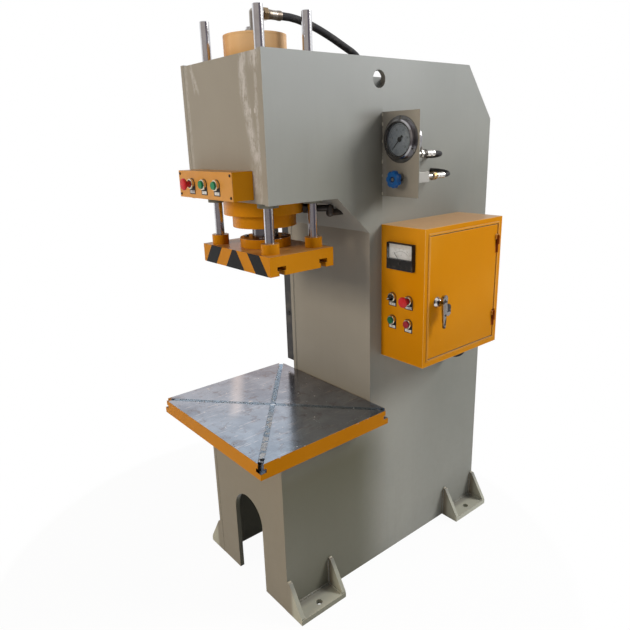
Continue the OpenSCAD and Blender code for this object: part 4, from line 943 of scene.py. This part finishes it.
class PRESS_OT_welds(Operator):
    """Run the weld beads along the seams of the frame, its feet and the gauge bracket"""

    bl_idname = "press.welds"
    bl_label = "Welds"

    def execute(self, context):
        width = context.scene.press_sizes.weld
        inner, outer = (corner.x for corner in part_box("side_plate_right"))
        self.seams(inner, outer, width * 0.6)
        self.feet(outer, width)
        self.bracket(outer, width)
        return {"FINISHED"}

    def seams(self, inner, outer, width):
        head_lo, head_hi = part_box("head_front_plate")
        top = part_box("head_top_plate")[1]
        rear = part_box("rear_plate")[1]
        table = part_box("work_table")[1].z
        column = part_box("bed_plate")[1].y - (outer - inner)
        knee = highest("throat_plate", column)
        crown = highest("rear_plate", rear.y)
        slope_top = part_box("throat_plate")[0].y
        low = 3 * MM
        bm = bmesh.new()
        for seed, side in enumerate((-1, 1)):
            x = side * inner
            for path in (
                [(x, column, table), (x, column, knee), (x, slope_top, head_lo.z)],
                [(x, head_lo.y + 10 * MM, head_hi.z), (x, top.y, top.z)],
                [(x, rear.y, crown), (x, rear.y, low)],
            ):
                bead(bm, path, width, seed, 7 * MM)
        add_piece("seam_welds", bm, "machine_grey_enamel")

    def feet(self, outer, width):
        bm = bmesh.new()
        tips = bmesh.new()
        lift = width * 0.12
        for seed, name in enumerate(("front_feet", "rear_feet")):
            lo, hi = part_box(name)
            near, far = lo.y + GUSSET, hi.y - GUSSET
            floor = FOOT + lift
            top = hi.z - 5 * MM
            for side in (-1, 1):
                x = side * (outer + lift)
                reach = side * (hi.x - 4 * MM)
                paths = [[(x, near, floor), (x, far, floor)]]
                for y in (near + lift, far - lift):
                    paths.append([(x, y, floor), (x, y, top)])
                    paths.append([(x, y, floor), (reach, y, floor)])
                free = lo.y - lift if name == "rear_feet" else hi.y + lift
                paths.append([(x, free, 3 * MM), (x, free, top)])
                for path in paths:
                    bead(bm, path, width, seed)
                for y in (lo.y, far):
                    start = (side * (outer + 2 * MM), y + 2 * MM, hi.z)
                    end = (side * (outer + 3 * MM), y + GUSSET - 1 * MM, hi.z + 1 * MM)
                    bead(tips, [start, end], width * 0.8, seed + 4)
        add_piece("foot_welds", bm, "machine_grey_enamel")
        add_piece("gusset_tips", tips, "pale_enamel")

    def bracket(self, outer, width):
        lo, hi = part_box("gauge_bracket")
        bm = bmesh.new()
        x = outer + 0.5 * MM
        for share, length in ((0.03, 9), (0.25, 7), (0.42, 12), (0.66, 8), (0.86, 10), (0.97, 8)):
            z = lo.z + (hi.z - lo.z) * share
            half = length * MM / 2
            bead(bm, [(x, lo.y, z - half), (x, lo.y, z + half)], width * 0.55, length)
        half = 20 * MM
        for z in (lo.z + 40 * MM, lo.z + 120 * MM, lo.z + 200 * MM):
            bead(bm, [(x, hi.y, z - half), (x, hi.y, z + half)], width * 0.7, 5)
        add_piece("bracket_tacks", bm, "pale_enamel")


class PRESS_OT_fasteners(Operator):
    """Put in the screws of the rod flange, the covers, the tank, the gauge and its valve knob"""

    bl_idname = "press.fasteners"
    bl_label = "Fasteners"

    def execute(self, context):
        self.rod_flange()
        # piece, node, way out, how deep the screws sit, inset, number on a side, kind,
        # head's width and height, finish and slot
        self.rows("station_screws", "station_cover", FRONT, 0, 9, 2, pan_screw, (8, 2.4),
                  "black_oxide", "black_steel")
        self.rows("rear_cover_screws", "rear_cover", BACK, 2, 10, 3, pan_screw, (11, 4),
                  "zinc_plate", "zinc_steel")
        self.rows("tank_lid_screws", "oil_tank", UP, 0, 12, 4, cap_screw, (13, 7),
                  "black_oxide", "black_steel")
        self.gauge()
        self.knob()
        return {"FINISHED"}

    def rod_flange(self):
        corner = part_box("rod_flange")[1]
        radius = (ROD + corner.x) / 2
        bm = bmesh.new()
        for i in range(4):
            turn = math.tau * (i + 0.5) / 4
            at = (radius * math.cos(turn), radius * math.sin(turn), corner.z)
            cap_screw(bm, stand(at, UP), 15 * MM, 5 * MM)
        add_piece("rod_flange_screws", bm, "worn_steel", "ram")

    def rows(self, name, node, out, sunk, inset, count, screw, size, finish, slot):
        """Screws along the two sides of a cover, in its front, its back or its top."""
        lo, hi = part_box(node)
        bm = bmesh.new()
        for x in (lo.x + inset * MM, hi.x - inset * MM):
            for i in range(count):
                share = i / (count - 1)
                y = lo.y + sunk * MM
                z = lo.z + inset * MM + (hi.z - lo.z - 2 * inset * MM) * share
                if out == UP:
                    y = lo.y + inset * MM + (hi.y - lo.y - 2 * inset * MM) * share
                    z = hi.z
                screw(bm, stand((x, y, z), out), size[0] * MM, size[1] * MM)
        add_piece(name, bm, finish)

    def gauge(self):
        centre = anchor("gauge_needle_turn")
        radius = (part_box("gauge_case")[1].x - centre.x + GAUGE_FACE) / 2
        bm = bmesh.new()
        for turn in (math.radians(210), math.radians(330)):
            at = centre + Vector((radius * math.cos(turn), -2.5 * MM, radius * math.sin(turn)))
            pan_screw(bm, stand(at, FRONT), 8 * MM, 2.4 * MM)
        add_piece("gauge_screws", bm, "zinc_plate")

    def knob(self):
        centre = anchor("valve_turn")
        centre.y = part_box("valve_knob")[0].y + 3 * MM
        bm = bmesh.new()
        pan_screw(bm, stand(centre, FRONT), 10 * MM, 3 * MM)
        add_piece("knob_screw", bm, "worn_steel", "valve_knob")


class PRESS_OT_swarf(Operator):
    """Pack the table's slots with swarf, short of their ends"""

    bl_idname = "press.swarf"
    bl_label = "Swarf"

    def execute(self, context):
        lo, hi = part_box("work_table")
        centre = (lo + hi) / 2
        width, depth, sink, start = 16.6 * MM, 5 * MM, 0.3 * MM, 9 * MM
        lengthwise, across = 60, 6
        rng = random.Random(11)
        bm = bmesh.new()
        for x in (lo.x, hi.x):
            for y in (lo.y, hi.y):
                way = Vector((x - centre.x, y - centre.y, 0))
                short = 11 * MM if x < centre.x and y > centre.y else 24 * MM
                length = way.length - short
                way.normalize()
                side = Vector((-way.y, way.x, 0))
                rows = []
                for i in range(lengthwise + 1):
                    out = start + (length - start) * i / lengthwise
                    low = sink + (3 * MM if i > lengthwise - 2 else 0)
                    row = []
                    for k in range(across + 1):
                        aside = width * (k / across - 0.5)
                        drop = low + rng.uniform(0, 0.04) * MM
                        at = Vector((centre.x, centre.y, hi.z - drop)) + way * out + side * aside
                        row.append(bm.verts.new(at))
                    rows.append(row)
                for near, far in zip(rows, rows[1:]):
                    for k in range(across):
                        bm.faces.new((near[k], far[k], far[k + 1], near[k + 1]))
        bmesh.ops.solidify(bm, geom=bm.faces[:], thickness=-depth)
        crossing = (centre.x, centre.y, hi.z - depth / 2 - 1 * MM)
        block(bm, (width, width, depth), Matrix.Translation(crossing))
        add_piece("slot_swarf", bm, "slot_swarf")
        return {"FINISHED"}


class PRESS_OT_seals(Operator):
    """Fit the wipers of the piston rod and guide rods and the gauge's gasket"""

    bl_idname = "press.seals"
    bl_label = "Seals"

    def execute(self, context):
        bm = bmesh.new()
        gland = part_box("cylinder_gland")[0].z
        self.wiper(bm, stand((0, 0, gland + 1 * MM), DOWN), ROD, 8 * MM, 4 * MM)
        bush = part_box("guide_bushes")[0].z
        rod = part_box("guide_rods")[1]
        for x in (-1, 1):
            for y in (-1, 1):
                at = (x * (rod.x - GUIDE), y * (rod.y - GUIDE), bush + 1 * MM)
                self.wiper(bm, stand(at, DOWN), GUIDE, 5 * MM, 3 * MM)
        add_piece("rod_wipers", bm, "black_moulding")
        bm = bmesh.new()
        lo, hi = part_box("gauge_glass")
        at = anchor("gauge_needle_turn")
        at.y = lo.y + 0.2 * MM
        r = (hi.x - lo.x) / 2
        turned(bm, [(r - 3.4 * MM, 0), (r - 3.4 * MM, 0.8 * MM), (r - 2.4 * MM, 1.6 * MM),
                    (r - 0.2 * MM, 1.6 * MM), (r - 0.2 * MM, 0)], stand(at, FRONT), 64, True)
        add_piece("gauge_gasket", bm, "black_moulding")
        return {"FINISHED"}

    def wiper(self, bm, place, bore, width, height):
        gap = 0.3 * MM
        turned(bm, [(bore + gap, 0), (bore + gap, height), (bore + width * 0.4, height * 0.7),
                    (bore + width, height * 0.5), (bore + width, 0)], place, 48, True)


class PRESS_OT_crimps(Operator):
    """Press the ferrules onto the hoses and ring the fittings"""

    bl_idname = "press.crimps"
    bl_label = "Hose ferrules"

    def execute(self, context):
        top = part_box("top_fitting")[1]
        gauge, valve = anchor("gauge_needle_turn"), anchor("valve_turn")
        upper = (gauge.x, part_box("gauge_hoses")[0].y, gauge.z - 43 * MM)
        lower = (valve.x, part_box("gauge_fittings")[1].y, valve.z)
        # each sleeve: end of its hose, how far before it the sleeve starts, radius, length, rings
        for name, finish, slot, sleeves in (
            ("top_ferrule", "old_ferrule", "zinc_steel",
             [((0, top.y, top.z - 15 * MM), 48, 13.5, 48, 1)]),
            ("gauge_ferrules", "bright_ferrule", "zinc_steel",
             [(upper, 37, 9.6, 37, 2), (lower, 37, 9.6, 37, 2)]),
            ("fitting_band", "black_oxide", "black_steel", [(upper, 52, 12.4, 13, 1)]),
            ("fitting_collar", "yellow_brass", "zinc_steel", [(lower, 56, 12.6, 14, 1)]),
        ):
            bm = bmesh.new()
            for (x, y, z), before, radius, length, rings in sleeves:
                place = stand((x, y - before * MM, z), BACK)
                ribbed(bm, place, radius * MM, length * MM, rings)
            add_piece(name, bm, finish)
        return {"FINISHED"}


class PRESS_OT_labels(Operator):
    """Put label fields on the legend plates and a pointer on the selector"""

    bl_idname = "press.labels"
    bl_label = "Labels"

    def execute(self, context):
        fields, figures = bmesh.new(), bmesh.new()
        station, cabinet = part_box("station_cover")[0].y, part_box("cabinet_shell")[0].y
        words = {
            "station_estop": (station, ""), "station_button_left": (station, "1"),
            "station_button_right": (station, "2"), "selector_knob": (cabinet, "0   1"),
            "cabinet_estop": (cabinet, ""), "start_button": (cabinet, "ON"),
            "stop_button": (cabinet, "OFF"),
        }
        for name, (panel, text) in words.items():
            x, _, z = middle(name)
            place = stand((x, panel - 1.2 * MM, z - 22.2 * MM), FRONT)
            block(fields, (25 * MM, 8.4 * MM, 0.5 * MM), place, 0.15 * MM)
            if text:
                letters(figures, text, 7 * MM, place @ Matrix.Translation((0, 0, 0.26 * MM)))
        add_piece("label_fields", fields, "white_label")
        add_piece("label_figures", figures, "black_moulding")
        x, _, z = middle("selector_knob")
        turn = Matrix.Rotation(math.radians(30), 4, "Z")
        grip = stand((x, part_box("selector_knob")[0].y, z), FRONT) @ turn
        pointer = bmesh.new()
        for size, offset in (((8, 2, 0.4), (-5.6, 0, 0)), ((0.5, 2, 4), (-10, 0, -2))):
            block(pointer, Vector(size) * MM, grip @ Matrix.Translation(Vector(offset) * MM))
        add_piece("selector_pointer", pointer, "white_label", "selector_knob")
        return {"FINISHED"}


class PRESS_OT_meter(Operator):
    """Print the panel meter's scale and set its zero screw"""

    bl_idname = "press.meter"
    bl_label = "Panel meter"

    def execute(self, context):
        lo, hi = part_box("meter_window")
        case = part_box("meter_case")[0]
        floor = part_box("cabinet_shell")[0].y - 4 * MM
        pivot = anchor("meter_needle_turn")
        pivot.y = floor
        gap = 0.2 * MM
        board = bmesh.new()
        x, _, z = middle("meter_window")
        size = (hi.x - lo.x - gap, hi.z - lo.z - gap, 0.4 * MM)
        block(board, size, stand((x, floor - 0.1 * MM, z), FRONT))
        add_piece("meter_board", board, "white_label")
        ink = bmesh.new()
        face = stand(pivot - Vector((0, 0.3 * MM, 0)), FRONT)
        arc(ink, face, 38 * MM, 38.5 * MM, -50, 50)
        marks = ((38, 43, 0.35), (38, 41.4, 0.35), (38, 40.2, 0.35))
        scale(ink, face, 50, marks, (46, 5, 10), True)
        letters(ink, "A", 7 * MM, face @ Matrix.Translation((0, 27 * MM, 0)))
        add_piece("meter_scale", ink, "print_ink")
        screw = bmesh.new()
        at = (pivot.x, case.y, pivot.z + 1 * MM)
        pan_screw(screw, stand(at, FRONT), 9 * MM, 1.6 * MM, False)
        add_piece("meter_zero_screw", screw, "black_moulding")
        return {"FINISHED"}


class PRESS_OT_gauge(Operator):
    """Print the pressure gauge's dial and cap its needle's hub"""

    bl_idname = "press.gauge"
    bl_label = "Pressure gauge"

    def execute(self, context):
        centre = anchor("gauge_needle_turn")
        centre.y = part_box("gauge_dial")[0].y
        face = stand(centre, FRONT)
        ink = bmesh.new()
        arc(ink, face, 41.5 * MM, 42 * MM, -135, 135)
        arc(ink, face, 35.5 * MM, 35.8 * MM, -135, 135)
        marks = ((36, 42, 0.9), (38, 42, 0.4), (39.6, 42, 0.4))
        scale(ink, face, 135, marks, (29, 8, 5), False)
        add_piece("gauge_scale", ink, "needle_enamel")
        hub = bmesh.new()
        at = (centre.x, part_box("gauge_needle")[0].y + 0.3 * MM, centre.z)
        turned(hub, [(0, -2 * MM), (6.8 * MM, -2 * MM), (6.8 * MM, -0.6 * MM), (6 * MM, 0),
                     (3 * MM, 0), (2.4 * MM, 0.8 * MM), (0, 1 * MM)], stand(at, FRONT), 32)
        add_piece("gauge_hub", hub, "needle_enamel", "gauge_needle")
        return {"FINISHED"}


class PRESS_OT_lock(Operator):
    """Set the key barrel in the door's lever"""

    bl_idname = "press.lock"
    bl_label = "Door lock"

    def execute(self, context):
        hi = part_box("door_handle")[1]
        lock = anchor("handle_turn")
        at = (hi.x - 1.6 * MM, lock.y + 16 * MM, lock.z - 22 * MM)
        place = stand(at, (1, 0, 0))
        bm = bmesh.new()
        turned(bm, [(0, 1.2 * MM), (6 * MM, 1.2 * MM), (7.5 * MM, 0.4 * MM), (8 * MM, -1 * MM),
                    (0, -1 * MM)], place, 28)
        add_piece("key_barrel", bm, "plated_ring", "door_handle")
        slot = bmesh.new()
        block(slot, (1.2 * MM, 7 * MM, 1 * MM), place @ Matrix.Translation((0, 0, 0.9 * MM)))
        add_piece("key_slot", slot, "black_moulding", "door_handle")
        return {"FINISHED"}


class PRESS_OT_stage(Operator):
    """Set up the camera, the lamps, the floor and the white room"""

    bl_idname = "press.stage"
    bl_label = "Stage"

    def execute(self, context):
        scene = context.scene
        light = scene.press_stage
        scene.view_settings.view_transform = "Standard"
        self.camera(scene)
        self.room(scene, light.sky)
        self.floor()
        self.flags()
        self.lamp("key_lamp", (4.2, 5.0, 4.6), light.key, 2.6, (1.0, 0.995, 0.98))
        self.lamp("front_lamp", (-0.6, -4.6, 2.8), light.fill, 1.4, (1.0, 0.9, 0.73))
        return {"FINISHED"}

    def camera(self, scene):
        data = bpy.data.cameras.new("camera")
        data.sensor_width = 36
        data.lens = 33.09
        camera = add_object("camera", data)
        yaw, pitch, roll = 0.8881093, -0.2930079, -0.0314103
        ahead = Vector((-math.sin(yaw) * math.cos(pitch), math.cos(yaw) * math.cos(pitch),
                        math.sin(pitch)))
        level = Vector((math.cos(yaw), math.sin(yaw), 0))
        above = level.cross(ahead)
        right = level * math.cos(roll) + above * math.sin(roll)
        up = above * math.cos(roll) - level * math.sin(roll)
        turn = Matrix((right, up, -ahead)).transposed().to_4x4()
        camera.matrix_world = Matrix.Translation((1.46700, -1.00702, 1.47331)) @ turn
        scene.camera = camera

    def room(self, scene, level):
        world = bpy.data.worlds.new("white_room")
        world.use_nodes = True
        tree = world.node_tree
        room = Nodes(tree)
        seen = room.seen_white()
        white = room.node("ShaderNodeBackground", None, {"Color": (1, 1, 1, 1), "Strength": 1.0})
        way = room.node("ShaderNodeTexCoord", out="Generated")
        height = room.node("ShaderNodeSeparateXYZ", None, {0: way}, "Z")
        tint = room.mix(height.rise(-0.3, 0.6), (0.98, 0.95, 0.9, 1), (0.96, 0.98, 1.0, 1))
        soft = room.node("ShaderNodeBackground", None, {"Color": tint, "Strength": level})
        mixed = room.node("ShaderNodeMixShader", None, {0: seen, 1: soft, 2: white})
        out = tree.nodes.new("ShaderNodeOutputWorld")
        tree.links.new(mixed.socket, out.inputs["Surface"])
        scene.world = world

    def floor(self):
        bm = bmesh.new()
        turned(bm, [(9, -0.02), (9, 0), (0, 0)], Matrix.Identity(4), 64)
        bmesh.ops.recalc_face_normals(bm, faces=bm.faces)
        paper = Finish("floor_paper", paint(236, 236, 235), 0.9)
        paper.coat(paper.noise(3, 4) * 0.15, paint(228, 228, 228))
        paper.raise_by(paper.noise(300, 2) * 0.2)
        paper.done()
        glow = paper.node("ShaderNodeEmission", None, {"Color": (1, 1, 1, 1), "Strength": 1.0})
        away = (paper.x * paper.x + paper.y * paper.y).rise(0.2, 1.1)
        share = paper.seen_white() * away.max(0.96)
        mixed = paper.node("ShaderNodeMixShader", None,
                           {0: share, 1: Wire(paper, paper.shader.outputs[0]), 2: glow})
        out = next(node for node in paper.tree.nodes if node.type == "OUTPUT_MATERIAL")
        paper.tree.links.new(mixed.socket, out.inputs["Surface"])
        floor = add_mesh("studio_floor", bm, paper.material)

    def flags(self):
        """Dark and brown walls that only shine in polished metal, duller low down."""
        dark = paint(72, 68, 78), paint(103, 96, 108)
        brown = paint(122, 116, 118), paint(186, 178, 172)
        away, steps = 2.8, 16
        for name, start, end, tones, top in (
                ("dark_flag", -13, 20, dark, 4.0), ("brown_flag", -130, -13, brown, 4.0),
                ("side_flag", 20, 38, brown, 4.0), ("low_flag", 38, 52, brown, 1.2)):
            bm = bmesh.new()
            turns = [math.radians(start + (end - start) * i / steps) for i in range(steps + 1)]
            rows = [[bm.verts.new((away * math.cos(t), away * math.sin(t), z)) for t in turns]
                    for z in (0.01, top)]
            for i in range(steps):
                bm.faces.new((rows[0][i], rows[0][i + 1], rows[1][i + 1], rows[1][i]))
            cloth = Finish(name + "_cloth", (0, 0, 0, 1), 1.0,
                           {"Specular IOR Level": 0.0, "Emission Strength": 1.0})
            streak = cloth.noise(2.6, 2, 0.5, along=(1, 1, 0.03)).rise(0.4, 0.66)
            tone = cloth.mix((cloth.z.rise(0.9, 2.2) * 0.75 + streak * 0.3).clamp(), *tones)
            flag = add_mesh(name, bm, cloth.done({"Emission Color": tone}))
            for ray in ("camera", "diffuse", "transmission", "volume_scatter", "shadow"):
                setattr(flag, "visible_" + ray, False)

    def lamp(self, name, place, power, size, colour):
        data = bpy.data.lights.new(name, "AREA")
        data.energy = power
        data.size = size
        data.color = colour
        lamp = add_object(name, data)
        lamp.visible_glossy = name != "front_lamp"
        aim = (Vector((0, 0.25, 0.85)) - Vector(place)).to_track_quat("-Z", "Y")
        lamp.matrix_world = Matrix.Translation(place) @ aim.to_matrix().to_4x4()


class PRESS_PT_panel(Panel):
    """Lists the pieces of the press and its stage"""

    bl_label = "Hydraulic press"
    bl_idname = "PRESS_PT_panel"
    bl_space_type = "VIEW_3D"
    bl_region_type = "UI"
    bl_category = "Press"

    def draw(self, context):
        scene = context.scene
        for settings in (scene.press_colours, scene.press_sizes, scene.press_stage):
            box = self.layout.box()
            for key in settings.__annotations__:
                box.prop(settings, key)
        for operator in OPERATORS:
            self.layout.operator(operator.bl_idname)


GROUPS = {"press_colours": PressColours, "press_sizes": PressSizes, "press_stage": PressStage}
OPERATORS = (
    PRESS_OT_finishes, PRESS_OT_welds, PRESS_OT_fasteners, PRESS_OT_swarf, PRESS_OT_seals,
    PRESS_OT_crimps, PRESS_OT_labels, PRESS_OT_meter, PRESS_OT_gauge, PRESS_OT_lock,
    PRESS_OT_stage,
)


def register():
    for name, group in GROUPS.items():
        bpy.utils.register_class(group)
        setattr(bpy.types.Scene, name, PointerProperty(type=group))
    for operator in OPERATORS:
        bpy.utils.register_class(operator)
    bpy.utils.register_class(PRESS_PT_panel)


def unregister():
    bpy.utils.unregister_class(PRESS_PT_panel)
    for operator in reversed(OPERATORS):
        bpy.utils.unregister_class(operator)
    for name, group in reversed(GROUPS.items()):
        delattr(bpy.types.Scene, name)
        bpy.utils.unregister_class(group)


def main():
    register()
    for operator in OPERATORS:
        group, name = operator.bl_idname.split(".")
        getattr(getattr(bpy.ops, group), name)()


if __name__ == "__main__":
    main()
